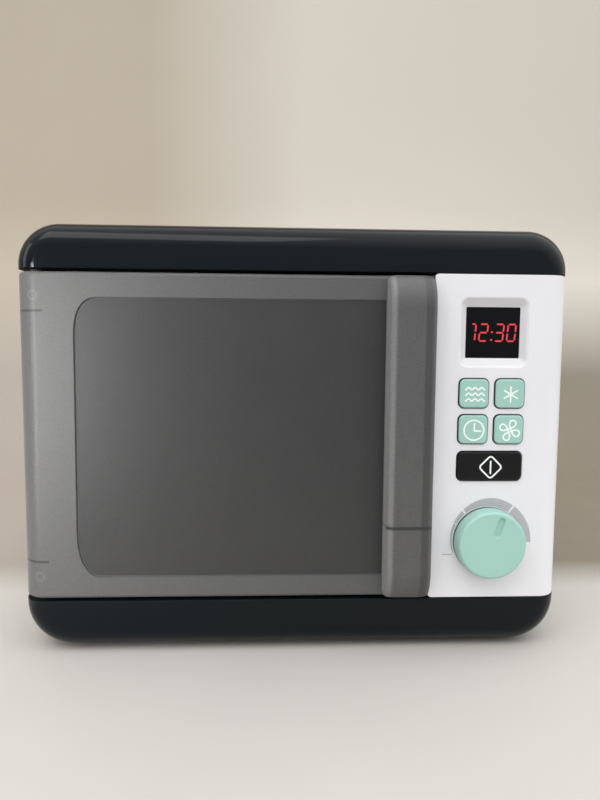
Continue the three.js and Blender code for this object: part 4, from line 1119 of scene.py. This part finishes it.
def digit_segments(left, shown):
    """Centres of the lit segments of one digit, with their turn in quarter turns."""
    low, right, half = DIGIT_LOW, left + DIGIT_WIDE, DIGIT_HIGH / 2
    middle = (left + right) / 2
    places = {
        "top": (middle, low + DIGIT_HIGH, 0), "bar": (middle, low + half, 0), "foot": (middle, low, 0),
        "upper_left": (left, low + 1.5 * half, 1), "upper_right": (right, low + 1.5 * half, 1),
        "lower_left": (left, low + half / 2, 1), "lower_right": (right, low + half / 2, 1),
    }
    return [places[name] for name in shown]


def digits_tree(material):
    """Segments as pointed bars, one on each point, leaning as the digits do. A bar is a hexagonal
    prism that is pulled apart at its middle."""
    tree, sizes = growth_tree("display_segments", {
        "Stroke": DIGIT_STROKE * MM, "Spread": 1.35 * MM, "Thickness": 0.16 * MM, "Lean": 0.09,
        "Foot level": 0.0,
    })
    hexagon_corner = 0.577
    radius = add(tree, "ShaderNodeMath", {0: sizes["Stroke"], 1: hexagon_corner}, operation="MULTIPLY")
    prism = add(tree, "GeometryNodeMeshCylinder", {
        "Vertices": 6, "Radius": radius, "Depth": sizes["Thickness"],
    })
    turn = add(tree, "GeometryNodeTransform", {"Geometry": prism, "Rotation": (math.pi / 2, 0, 0)})
    at = add(tree, "ShaderNodeSeparateXYZ", {0: add(tree, "GeometryNodeInputPosition")}).outputs
    sign = add(tree, "ShaderNodeMath", {0: at[0]}, operation="SIGN")
    shift = add(tree, "ShaderNodeMath", {0: sign, 1: sizes["Spread"]}, operation="MULTIPLY")
    offset = add(tree, "ShaderNodeCombineXYZ", {0: shift})
    bar = add(tree, "GeometryNodeSetPosition", {"Geometry": turn, "Offset": offset})
    quarter, reach = [
        add(tree, "GeometryNodeInputNamedAttribute", {"Name": name}, data_type="FLOAT")
        for name in ("turn", "reach")
    ]
    angle = add(tree, "ShaderNodeMath", {0: quarter, 1: math.pi / 2}, operation="MULTIPLY")
    real = put_on_points(tree, sizes["Geometry"], bar, {
        "Rotation": add(tree, "ShaderNodeCombineXYZ", {1: angle}),
        "Scale": add(tree, "ShaderNodeCombineXYZ", {0: reach, 1: 1.0, 2: 1.0}),
    })
    here = add(tree, "ShaderNodeSeparateXYZ", {0: add(tree, "GeometryNodeInputPosition")}).outputs
    rise = add(tree, "ShaderNodeMath", {0: here[2], 1: sizes["Foot level"]}, operation="SUBTRACT")
    lean = add(tree, "ShaderNodeMath", {0: rise, 1: sizes["Lean"]}, operation="MULTIPLY")
    slant = add(tree, "ShaderNodeCombineXYZ", {0: lean})
    end_tree(tree, add(tree, "GeometryNodeSetPosition", {"Geometry": real, "Offset": slant}), material)
    return tree


class TOYOVEN_OT_display(bpy.types.Operator):
    """Makes the black display sheet and the time printed on it"""
    bl_idname = "toyoven.display"
    bl_label = "Display"

    def execute(self, context):
        sheet = pillow(DISPLAY_X, DISPLAY_Z, 31.6, 29.4, 1.9, SHEET_FRONT, SHEET_BACK, 0.2, 3)
        finished("display_sheet", sheet, display_sheet(), "housing", ["display_plate"])
        marks = [
            *digit_segments(90.4, ("upper_right", "lower_right")),
            *digit_segments(96.9, ("top", "upper_right", "bar", "lower_left", "foot")),
            *digit_segments(105.5, ("top", "upper_right", "bar", "lower_right", "foot")),
            *digit_segments(112.0, ("top", "upper_left", "upper_right", "lower_left", "lower_right", "foot")),
        ]
        reach = [1.0] * len(marks)
        marks += [(93.4, DIGIT_LOW + DIGIT_HIGH, 0), (103.6, 144.1, 0), (103.6, 140.0, 0)]
        reach += [0.5, 0.32, 0.32]
        places = [(x, SHEET_FRONT - 0.04, z) for x, z, _ in marks]
        tree = digits_tree(lit_digits(context.scene.toyoven_controls.digits))
        grown_from_points(
            "display_digits", places, {"turn": [t for _, _, t in marks], "reach": reach}, tree,
            {"Foot level": (DIGIT_LOW + SEAM) * MM}, "housing",
        )
        return {"FINISHED"}


# ---------------------------------------------------------------- buttons

def band(points, width, y0, y1, closed=False):
    """A printed line along points, with round ends, as a thin solid."""
    half = width / 2
    path = [Vector(p) for p in points]
    count = len(path)
    rows = []
    for i, here in enumerate(path):
        before = path[i - 1] if i or closed else here
        after = path[(i + 1) % count] if i + 1 < count or closed else here
        into = (here - before).normalized() if (here - before).length else (after - here).normalized()
        out = (after - here).normalized() if (after - here).length else into
        along = (into + out).normalized()
        side = Vector((-along.y, along.x))
        sharpest = 0.4
        rows.append((here, side, half / max(sharpest, along.dot(into))))
    if not closed:
        for end, sign in ((0, -1), (-1, 1)):
            here, side, _ = rows[end]
            along = Vector((side.y, -side.x)) * sign
            cap = [
                (here + along * half * math.sin(a), side, half * math.cos(a))
                for a in (math.radians(step) for step in (25, 50, 72, 86))
            ]
            rows = list(reversed(cap)) + rows if end == 0 else rows + cap
    rings = []
    for here, side, reach in rows:
        left, right = here + side * reach, here - side * reach
        rings.append([(p.x, y, p.y) for p, y in ((left, y0), (right, y0), (right, y1), (left, y1))])
    return loft(rings, closed)


def joined(meshes):
    """Several meshes as one, without cutting them."""
    made = bmesh.new()
    for mesh in meshes:
        made.from_mesh(mesh)
        bpy.data.meshes.remove(mesh)
    whole = bpy.data.meshes.new("joined")
    made.to_mesh(whole)
    made.free()
    return whole


def wave_lines(x, z):
    rows = []
    for level in (3.0, 0.0, -3.0):
        points = []
        for k in range(37):
            share = k / 36
            points.append((x - 5.1 + 10.2 * share, z + level - 0.6 * math.cos(6 * math.pi * share)))
        rows.append((points, False))
    return rows


def star_lines(x, z):
    rows = []
    for degrees in (90, 210, 330):
        across, up = 4.0 * math.cos(math.radians(degrees)), 4.0 * math.sin(math.radians(degrees))
        rows.append(([(x - across, z - up), (x + across, z + up)], False))
    return rows


def clock_lines(x, z):
    return [
        (arc(x, z, 5.3, 0, 352.5, 47), True),
        ([(x + 0.2, z + 3.5), (x + 0.2, z - 0.4), (x + 3.6, z - 0.4)], False),
    ]


def fan_lines(x, z):
    """Four petals round a small hub, each a closed loop that leans the same way."""
    rows = [(arc(x, z, 0.85, 0, 345, 23), True)]
    for k in range(4):
        turn = math.radians(66 + 90 * k)
        petal = []
        for i in range(28):
            a = 2 * math.pi * i / 28
            along = 3.6 - 2.05 * math.cos(a)
            across = 2.05 * math.sin(a) * (0.6 + 0.4 * (along - 1.55) / 4.1)
            petal.append((
                x + along * math.cos(turn) - across * math.sin(turn),
                z + along * math.sin(turn) + across * math.cos(turn),
            ))
        rows.append((petal, True))
    return rows


def start_lines(x, z):
    """A diamond with round corners and an upright bar."""
    half, corner = 6.3, 1.6
    inner = half - corner * math.sqrt(2)
    diamond = []
    for k in range(4):
        mid = math.radians(90 * k)
        cx, cz = x + inner * math.cos(mid), z + inner * math.sin(mid)
        diamond += arc(cx, cz, corner, 90 * k - 45, 90 * k + 45, 6)
    return [(diamond, True), ([(x, z - 3.3), (x, z + 3.2)], False)]


MARKS = {
    "waves": wave_lines, "star": star_lines, "clock": clock_lines, "fan": fan_lines, "start": start_lines,
}


def cap_mesh(x, z, width, height, proud):
    """A push button: a cap with a rounded front edge, a collar behind the panel and a stem."""
    collar = carry_back(rounded_rectangle(x, z, width + 2.4, height + 2.4, 4.0), 2.7, 4.1)
    cap = pillow(x, z, width, height, 3.0, FACE - proud, 3.1, 0.9, 8)
    return join(cap, collar, rod_back(2.0, x, z, 3.7, PLATE_BACK + 3.0, 32))


class TOYOVEN_OT_buttons(bpy.types.Operator):
    """Makes the five push buttons and the marks printed on them"""
    bl_idname = "toyoven.buttons"
    bl_label = "Buttons"

    def execute(self, context):
        controls = context.scene.toyoven_controls
        mint = satin_abs("mint_moulded_abs", controls.mint, 0.38)
        black = satin_abs("black_moulded_abs", controls.black, 0.36, 0.25)
        ink = printed_ink("white_pad_print", linear("#f2faf6"))
        proud, stroke = controls.button_proud / MM, controls.stroke / MM
        front = FACE - proud
        for name, (x, z, width, height) in BUTTONS.items():
            body = name + "_button"
            material, slot = (black, "black_plastic") if name == "start" else (mint, "mint_plastic")
            cap = cap_mesh(x, z, width, height, proud)
            finished("cap_" + name, cap, material, body, ["button_" + name])
            prints = [
                band(points, stroke, front - 0.06 - 0.01 * i, front + 0.06, closed)
                for i, (points, closed) in enumerate(MARKS[name](x + 0.4, z - 0.4))
            ]
            finished("mark_" + name, joined(prints), ink, body)
        return {"FINISHED"}


# ---------------------------------------------------------------- knob

def knob_mesh(rim):
    front, back, side = FACE - 10.0, FACE - SEAT_GAP, 18.1
    profile = [(0, front), (side - rim - 0.6, front)]
    profile += [(side - drawn, front + along) for along, drawn in rounding(rim, 10)]
    profile += [
        (18.5, back - 0.3), (18.6, back), (16.6, back), (16.1, front + 2.0), (6.5, front + 2.0), (6.5, back),
        (4.0, back), (4.0, 9.4), (0, 9.4),
    ]
    body = turned(profile, COLUMN, 0, KNOB_Z, "Y", 160)
    turn = math.radians(-19)
    rings = []
    for y, drawn in ((-1.0, -0.3), (0.0, -0.3), (0.06, -0.1), (0.25, 0.02), (1.05, 0.12), (1.2, 0.35)):
        ring = []
        for px, pz in rounded_rectangle(0, 10.3, 3.6 - 2 * drawn, 10.9 - 2 * drawn, 1.79 - drawn):
            x, z = px * math.cos(turn) - pz * math.sin(turn), px * math.sin(turn) + pz * math.cos(turn)
            ring.append((COLUMN + x, front + y, KNOB_Z + z))
        rings.append(ring)
    pilot = rod_back(SCREW_HOLE, COLUMN, KNOB_Z, -0.6, 10.4, SCREW_SIDES)
    flat = block(COLUMN + 3.0, COLUMN + 7.0, 6.4, 10.7, KNOB_Z - 10, KNOB_Z + 10)
    return cut(body, loft(rings), pilot, flat)


BAND_INSIDE = 19.2
BAND_OUTSIDE = [
    (200, 19.7), (176, 20.1), (153, 20.6), (128, 21.5), (112, 22.3), (85, 23.5), (51, 23.8), (-2.5, 24.2),
]
BAND_STRETCHES = ((200, 152.6), (151.6, 130.6), (127.6, 54.4), (51.6, -2.5))


def dial_band(start, end):
    """One stretch of the printed band, which widens clockwise round the knob. Its radii are given at
    angles in degrees."""
    rings = []
    steps = max(4, round(abs(end - start) / 2))
    for k in range(steps + 1):
        degrees = start + (end - start) * k / steps
        for (a0, r0), (a1, r1) in zip(BAND_OUTSIDE, BAND_OUTSIDE[1:]):
            if a1 <= degrees <= a0:
                outer = r0 + (r1 - r0) * (a0 - degrees) / (a0 - a1)
        a = math.radians(degrees)
        rings.append([
            (COLUMN + radius * math.cos(a), y, KNOB_Z + radius * math.sin(a))
            for radius, y in (
                (BAND_INSIDE, PRINT_FRONT), (outer, PRINT_FRONT),
                (outer, PRINT_BACK), (BAND_INSIDE, PRINT_BACK),
            )
        ])
    return loft(rings)


class TOYOVEN_OT_knob(bpy.types.Operator):
    """Makes the knob with its sunk pointer, and the band printed round it"""
    bl_idname = "toyoven.knob"
    bl_label = "Knob"

    def execute(self, context):
        controls = context.scene.toyoven_controls
        mint = satin_abs("mint_knob_abs", controls.mint, 0.38, foot=1.8)
        knob = knob_mesh(controls.knob_rim / MM)
        finished("dial_knob", knob, mint, "control_knob", ["knob"])
        stretches = [dial_band(*ends) for ends in BAND_STRETCHES]
        stretches.append(band([(79.4, 24.0), (84.7, 24.0)], 0.5, PRINT_FRONT, PRINT_BACK))
        ink = printed_ink("grey_pad_print", controls.dial)
        finished("dial_print", joined(stretches), ink, "housing")
        return {"FINISHED"}


# ---------------------------------------------------------------- screws and feet

def screw_tree(material):
    """A cross-head screw on each point, turned from a rule: the radius follows the head, the thread
    and the point along its length."""
    tree, sizes = growth_tree("cross_head_screws", {
        "Head radius": 2.8 * MM, "Head height": 1.8 * MM, "Shank radius": 1.4 * MM, "Length": 10 * MM,
        "Pitch": 1.1 * MM, "Recess width": 0.7 * MM, "Recess length": 2.8 * MM, "Recess depth": 1.1 * MM,
        "Tilt": 0.0,
    })
    neck, pitch = sizes["Head height"], sizes["Pitch"]
    whole = add(tree, "ShaderNodeMath", {0: neck, 1: sizes["Length"]}, operation="ADD")
    stock = stand(tree, add(tree, "GeometryNodeMeshCylinder", {
        "Vertices": 24, "Side Segments": 72, "Radius": 1.0, "Depth": whole,
    }), whole)
    z = add(tree, "ShaderNodeSeparateXYZ", {0: add(tree, "GeometryNodeInputPosition")}).outputs[2]
    share = add(tree, "ShaderNodeMath", {0: z, 1: neck}, operation="DIVIDE")
    crown = add(tree, "ShaderNodeMapRange", {
        "Value": share, "To Min": 0.8, "To Max": 1.0,
    }, interpolation_type="SMOOTHSTEP")
    head = add(tree, "ShaderNodeMath", {0: crown, 1: sizes["Head radius"]}, operation="MULTIPLY")
    beyond = add(tree, "ShaderNodeMath", {0: z, 1: neck}, operation="SUBTRACT")
    wave = add(tree, "ShaderNodeMath", {0: beyond, 1: pitch}, operation="PINGPONG")
    ridge = add(tree, "ShaderNodeMath", {0: wave, 1: pitch}, operation="DIVIDE")
    thread = add(tree, "ShaderNodeMapRange", {"Value": ridge, "To Min": 0.78, "To Max": 1.0})
    left = add(tree, "ShaderNodeMath", {0: whole, 1: z}, operation="SUBTRACT")
    taper = add(tree, "ShaderNodeMapRange", {"Value": left, "From Max": 1.5 * MM, "To Min": 0.12})
    shaped = add(tree, "ShaderNodeMath", {0: thread, 1: taper}, operation="MULTIPLY")
    shank = add(tree, "ShaderNodeMath", {0: shaped, 1: sizes["Shank radius"]}, operation="MULTIPLY")
    in_head = add(tree, "ShaderNodeMath", {0: share, 1: 1.0001}, operation="LESS_THAN")
    body = swell(tree, stock, add(tree, "ShaderNodeMix", {0: in_head, 2: shank, 3: head}, data_type="FLOAT"))
    wide, long = sizes["Recess width"], sizes["Recess length"]
    for across, along, deep in ((wide, long, 2.0), (long, wide, 1.8)):
        depth = add(tree, "ShaderNodeMath", {0: sizes["Recess depth"], 1: deep}, operation="MULTIPLY")
        size = add(tree, "ShaderNodeCombineXYZ", {0: across, 1: along, 2: depth})
        slot = add(tree, "GeometryNodeMeshCube", {"Size": size})
        body = add(tree, "GeometryNodeMeshBoolean", {0: body, 1: slot}, operation="DIFFERENCE")
        body = add(tree, "GeometryNodeMergeByDistance", {"Geometry": body, "Distance": 0.002 * MM})
    lay = add(tree, "ShaderNodeCombineXYZ", {0: sizes["Tilt"]})
    end_tree(tree, put_on_points(tree, sizes["Geometry"], body, {"Rotation": lay}), material)
    return tree


def numbered(stem):
    return [f"{stem}_{n}" for n in range(1, 5)]


class TOYOVEN_OT_screws(bpy.types.Operator):
    """Makes the screws of the base, the top cover, the switch plate, the hinges and the knob"""
    bl_idname = "toyoven.screws"
    bl_label = "Screws"

    def execute(self, context):
        tree = screw_tree(zinc_steel())
        forward = math.pi / 2
        base = [(x, y, -12.4) for x, y in SCREW_COLUMNS]
        cover = [(x, y, MID_HEIGHT - 4.3) for x, y in SCREW_COLUMNS]
        plate = [(x, PLATE_BACK + 2.1, z) for x, z in POSTS]
        hinge = [(BOSS_X, 17.0, z) for z in (BOSS_RISE, MID_HEIGHT - BOSS_RISE)]
        hinge_names = ["hinge_screw_top", "hinge_screw_bottom"]
        rows = (
            ("base_screws", base, 20.0, 0.0, "housing", numbered("base_screw")),
            ("cover_screws", cover, 12.2, 0.0, "housing", numbered("cover_screw")),
            ("plate_screws", plate, 7.7, forward, "housing", numbered("plate_screw")),
            ("hinge_screws", hinge, 11.3, forward, "door", hinge_names),
            ("shaft_screw", [(COLUMN, 13.1, KNOB_Z)], 10.0, forward, "control_knob", ["knob_screw"]),
        )
        for name, places, long, tilt, body, stands_for in rows:
            sizes = {"Length": long * MM, "Tilt": tilt}
            grown_from_points(name, places, {}, tree, sizes, body, stands_for)
        return {"FINISHED"}


def foot_tree(material):
    """A round pad on each point, with its lower edge rounded."""
    tree, sizes = growth_tree("rubber_feet", {"Radius": 8 * MM, "Height": 3.2 * MM, "Edge": 0.9 * MM})
    radius, edge = sizes["Radius"], sizes["Edge"]
    pad = stand(tree, add(tree, "GeometryNodeMeshCylinder", {
        "Vertices": 64, "Side Segments": 24, "Fill Segments": 3, "Radius": radius, "Depth": sizes["Height"],
    }), sizes["Height"])
    z = add(tree, "ShaderNodeSeparateXYZ", {0: add(tree, "GeometryNodeInputPosition")}).outputs[2]
    near = add(tree, "ShaderNodeMapRange", {"Value": z, "From Max": edge, "To Min": 1.0, "To Max": 0.0})
    square = add(tree, "ShaderNodeMath", {0: near, 1: 2.0}, operation="POWER")
    rest = add(tree, "ShaderNodeMath", {0: 1.0, 1: square}, operation="SUBTRACT")
    root = add(tree, "ShaderNodeMath", {0: rest}, operation="SQRT")
    gone = add(tree, "ShaderNodeMath", {0: 1.0, 1: root}, operation="SUBTRACT")
    drawn = add(tree, "ShaderNodeMath", {0: gone, 1: edge}, operation="MULTIPLY")
    part = add(tree, "ShaderNodeMath", {0: drawn, 1: radius}, operation="DIVIDE")
    pad = swell(tree, pad, add(tree, "ShaderNodeMath", {0: 1.0, 1: part}, operation="SUBTRACT"))
    end_tree(tree, put_on_points(tree, sizes["Geometry"], pad, {}), material)
    return tree


class TOYOVEN_OT_feet(bpy.types.Operator):
    """Makes the four rubber feet"""
    bl_idname = "toyoven.feet"
    bl_label = "Feet"

    def execute(self, context):
        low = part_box("foot_1")[0].z / MM - SEAM
        places = [(x, y, low) for x, y in foot_places(context.scene.toyoven_housing.base_corner / MM)]
        tree = foot_tree(foot_rubber())
        grown_from_points("feet", places, {}, tree, {}, "housing", numbered("foot"))
        return {"FINISHED"}


# ---------------------------------------------------------------- pieces kept from the frame

class TOYOVEN_OT_hidden(bpy.types.Operator):
    """Gives the pieces inside the housing their finishes, and gives each button's spring a mesh of its own"""
    bl_idname = "toyoven.hidden"
    bl_label = "Inner pieces"

    def execute(self, context):
        springs = {name: "button_spring_" + name for name in BUTTONS}
        finishes = (
            (zinc_steel(), ("click_spring", "knob_washer", "turntable_clip", *springs.values())),
            (acetal(), ("switch_plate", "hinge_washer", "door_catch", "click_wheel")),
            (smoked_pp(context.scene.toyoven_door.colour), ("hinge_block_top", "hinge_block_bottom")),
        )
        for material, names in finishes:
            for name in names:
                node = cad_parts[name]
                if not node.material_slots:
                    raise RuntimeError(f"{name} has no material slot")
                for slot in node.material_slots:
                    slot.material = material
        for name, spring in springs.items():
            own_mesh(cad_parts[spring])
        return {"FINISHED"}


# ---------------------------------------------------------------- stage

# Painted light and shade on the backdrop, for the lower then the upper row: where the sideways blend ends,
# and the colour factors at its left and right ends; the dark lower right is a painted shadow
BACKDROP_SHADE_CORNERS = (
    (0.2, (0.7, 0.645, 0.59), (0.41, 0.37, 0.3)),
    (0.05, (0.93, 0.85, 0.72), (1.29, 1.26, 1.18)),
)
FLOOR_FRONT, FLOOR_BACK, SWEEP, WALL_TOP, FLOOR_HALF = -0.55, 0.35, 0.45, 2.1, 2.2


def stage_paint(tone):
    """Pale matt plastic of the surface that the oven stands on, a little uneven in tone. The backdrop,
    and the floor behind the oven, are painted with light and shade: paler at the upper right, warmer and
    darker at the upper left, darker low down, and darkest at the lower right as a painted shadow of the oven."""
    def backdrop(tree, shader, place):
        x, y, z = add(tree, "ShaderNodeSeparateXYZ", {0: place}).outputs
        rows = []
        for right_end, left, right in BACKDROP_SHADE_CORNERS:
            side = add(tree, "ShaderNodeMapRange", {"Value": x, "From Min": -0.25, "From Max": right_end})
            ends = [[part * factor for part, factor in zip(tone, factors)] for factors in (left, right)]
            colours = {0: side, 6: (*ends[0], 1), 7: (*ends[1], 1)}
            rows.append(add(tree, "ShaderNodeMix", colours, data_type="RGBA"))
        # painted shade: the lower row blends up into the upper, and the floor behind the oven takes these
        # colours
        rise = add(tree, "ShaderNodeMapRange", {"Value": z, "From Min": 0.12, "From Max": 0.3})
        wall = add(tree, "ShaderNodeMix", {0: rise, 6: rows[0], 7: rows[1]}, data_type="RGBA")
        up = add(tree, "ShaderNodeMapRange", {"Value": y, "From Min": 0.01, "From Max": 0.06})
        whole = {0: up, 6: fed(shader, "Base Color"), 7: wall}
        feed(shader, "Base Color", add(tree, "ShaderNodeMix", whole, data_type="RGBA"))

    return shared_finish(
        "pale_stage_plastic", {"IOR": 1.45}, (0.55, 0.04, 90), [(1.4, 0.015)],
        scaled(tone, 0.97), scaled(tone, 1.02), backdrop,
    )


def lamp(name, place, target, size, watts, tone, spread=None):
    """A soft rectangular lamp. spread narrows its beam to an angle in degrees."""
    light = bpy.data.lights.new(name, "AREA")
    light.shape = "RECTANGLE"
    light.size, light.size_y = size
    light.energy = watts
    light.color = tone
    if spread:
        light.spread = math.radians(spread)
    made = in_scene(name, light)
    made.location = place
    made.rotation_euler = (Vector(target) - Vector(place)).to_track_quat("-Z", "Y").to_euler()


def backdrop_sweep(tone):
    """The floor, which curls up behind the oven into a wall."""
    profile = [(FLOOR_FRONT, 0.0), (-0.2, 0.0), (FLOOR_BACK, 0.0)]
    turns = [math.radians(degrees) for degrees in range(5, 91, 5)]
    profile += [(FLOOR_BACK + SWEEP * math.sin(a), SWEEP - SWEEP * math.cos(a)) for a in turns]
    profile += [(FLOOR_BACK + SWEEP, 2 * SWEEP), (FLOOR_BACK + SWEEP, WALL_TOP)]
    mesh = bpy.data.meshes.new("floor")
    corners = [(x, y, z) for y, z in profile for x in (-FLOOR_HALF, FLOOR_HALF)]
    faces = [(2 * i, 2 * i + 1, 2 * i + 3, 2 * i + 2) for i in range(len(profile) - 1)]
    mesh.from_pydata(corners, [], faces)
    mesh.shade_smooth()
    mesh.materials.append(stage_paint(tone))
    floor = in_scene("floor", mesh)


def even_light(strength):
    """Light from all round, dimmer from below and from the left."""
    world = bpy.data.worlds.new("even_light")
    bpy.context.scene.world = world
    world.use_nodes = True
    tree = world.node_tree
    tree.nodes.clear()
    way = add(tree, "ShaderNodeTexCoord").outputs["Generated"]
    way = add(tree, "ShaderNodeSeparateXYZ", {0: way}).outputs
    for value, low, high, dim, bright in ((way[2], -0.1, 0.8, 0.16, 1.0), (way[0], -1.0, 1.0, 0.55, 1.35)):
        part = add(tree, "ShaderNodeMapRange", {
            "Value": value, "From Min": low, "From Max": high, "To Min": dim, "To Max": bright,
        })
        strength = add(tree, "ShaderNodeMath", {0: part, 1: strength}, operation="MULTIPLY")
    sky = add(tree, "ShaderNodeBackground", {"Color": (0.99, 0.985, 1.0, 1), "Strength": strength})
    add(tree, "ShaderNodeOutputWorld", {"Surface": sky})


def place_camera():
    """A camera close in front, a little above the middle and turned slightly to the right."""
    camera = bpy.data.cameras.new("camera")
    camera.sensor_width = 36.0
    camera.lens = 27.0
    camera.clip_start, camera.clip_end = 0.01, 20.0
    forward = Matrix(((1, 0, 0), (0, 0, -1), (0, 1, 0)))
    roll, pitch, yaw = [
        Matrix.Rotation(math.radians(degrees), 3, axis)
        for degrees, axis in ((0.445, "Z"), (4.685, "X"), (-2.464, "Y"))
    ]
    look = roll @ pitch @ yaw @ forward
    axes = Matrix((look[0], -look[1], -look[2])).transposed()
    made = in_scene("camera", camera)
    made.matrix_world = Matrix.Translation((-0.01177, -0.39026, 0.16272)) @ axes.to_4x4()
    bpy.context.scene.camera = made


class TOYOVEN_OT_stage(bpy.types.Operator):
    """Makes the pale floor and backdrop, the soft light and the camera"""
    bl_idname = "toyoven.stage"
    bl_label = "Stage"

    def execute(self, context):
        stage = context.scene.toyoven_stage
        backdrop_sweep(stage.floor)
        lamp("key", (-1.25, -0.35, 0.55), (0, -0.05, 0.1), (0.4, 0.7), stage.key, (1.0, 0.985, 0.97))
        lamp("front", (-0.45, -0.85, 1.3), (0, 0, 0.1), (1.2, 0.7), stage.fill, (0.99, 0.99, 1.0))
        strip_place, strip_target = (-0.43, -0.56, 0.13), (-0.17, -0.08, 0.12)
        lamp("side", strip_place, strip_target, (0.14, 0.3), stage.side, (1.0, 0.99, 0.98), 34)
        even_light(stage.sky)
        place_camera()
        context.scene.view_settings.view_transform = "Standard"
        return {"FINISHED"}


# ---------------------------------------------------------------- panel and registration

OPERATORS = (
    TOYOVEN_OT_stage, TOYOVEN_OT_covers, TOYOVEN_OT_middle, TOYOVEN_OT_cavity, TOYOVEN_OT_door,
    TOYOVEN_OT_display, TOYOVEN_OT_buttons, TOYOVEN_OT_knob, TOYOVEN_OT_screws, TOYOVEN_OT_feet,
    TOYOVEN_OT_hidden,
)
GROUPS = {
    "toyoven_housing": HousingSettings,
    "toyoven_door": DoorSettings,
    "toyoven_controls": ControlSettings,
    "toyoven_stage": StageSettings,
}


class TOYOVEN_PT_panel(bpy.types.Panel):
    """Lists the sizes, the colours and the pieces of the toy oven"""
    bl_label = "Toy microwave oven"
    bl_space_type = "VIEW_3D"
    bl_region_type = "UI"
    bl_category = "Toy oven"

    def draw(self, context):
        for key, group in GROUPS.items():
            box = self.layout.box()
            for name in group.__annotations__:
                box.prop(getattr(context.scene, key), name)
        for operator in OPERATORS:
            self.layout.operator(operator.bl_idname)


def register():
    for made in (*GROUPS.values(), *OPERATORS, TOYOVEN_PT_panel):
        bpy.utils.register_class(made)
    for key, group in GROUPS.items():
        setattr(bpy.types.Scene, key, PointerProperty(type=group))


def unregister():
    for key in GROUPS:
        delattr(bpy.types.Scene, key)
    for made in reversed((*GROUPS.values(), *OPERATORS, TOYOVEN_PT_panel)):
        bpy.utils.unregister_class(made)


def main():
    register()
    for operator in OPERATORS:
        group, name = operator.bl_idname.split(".")
        getattr(getattr(bpy.ops, group), name)()


if __name__ == "__main__":
    main()
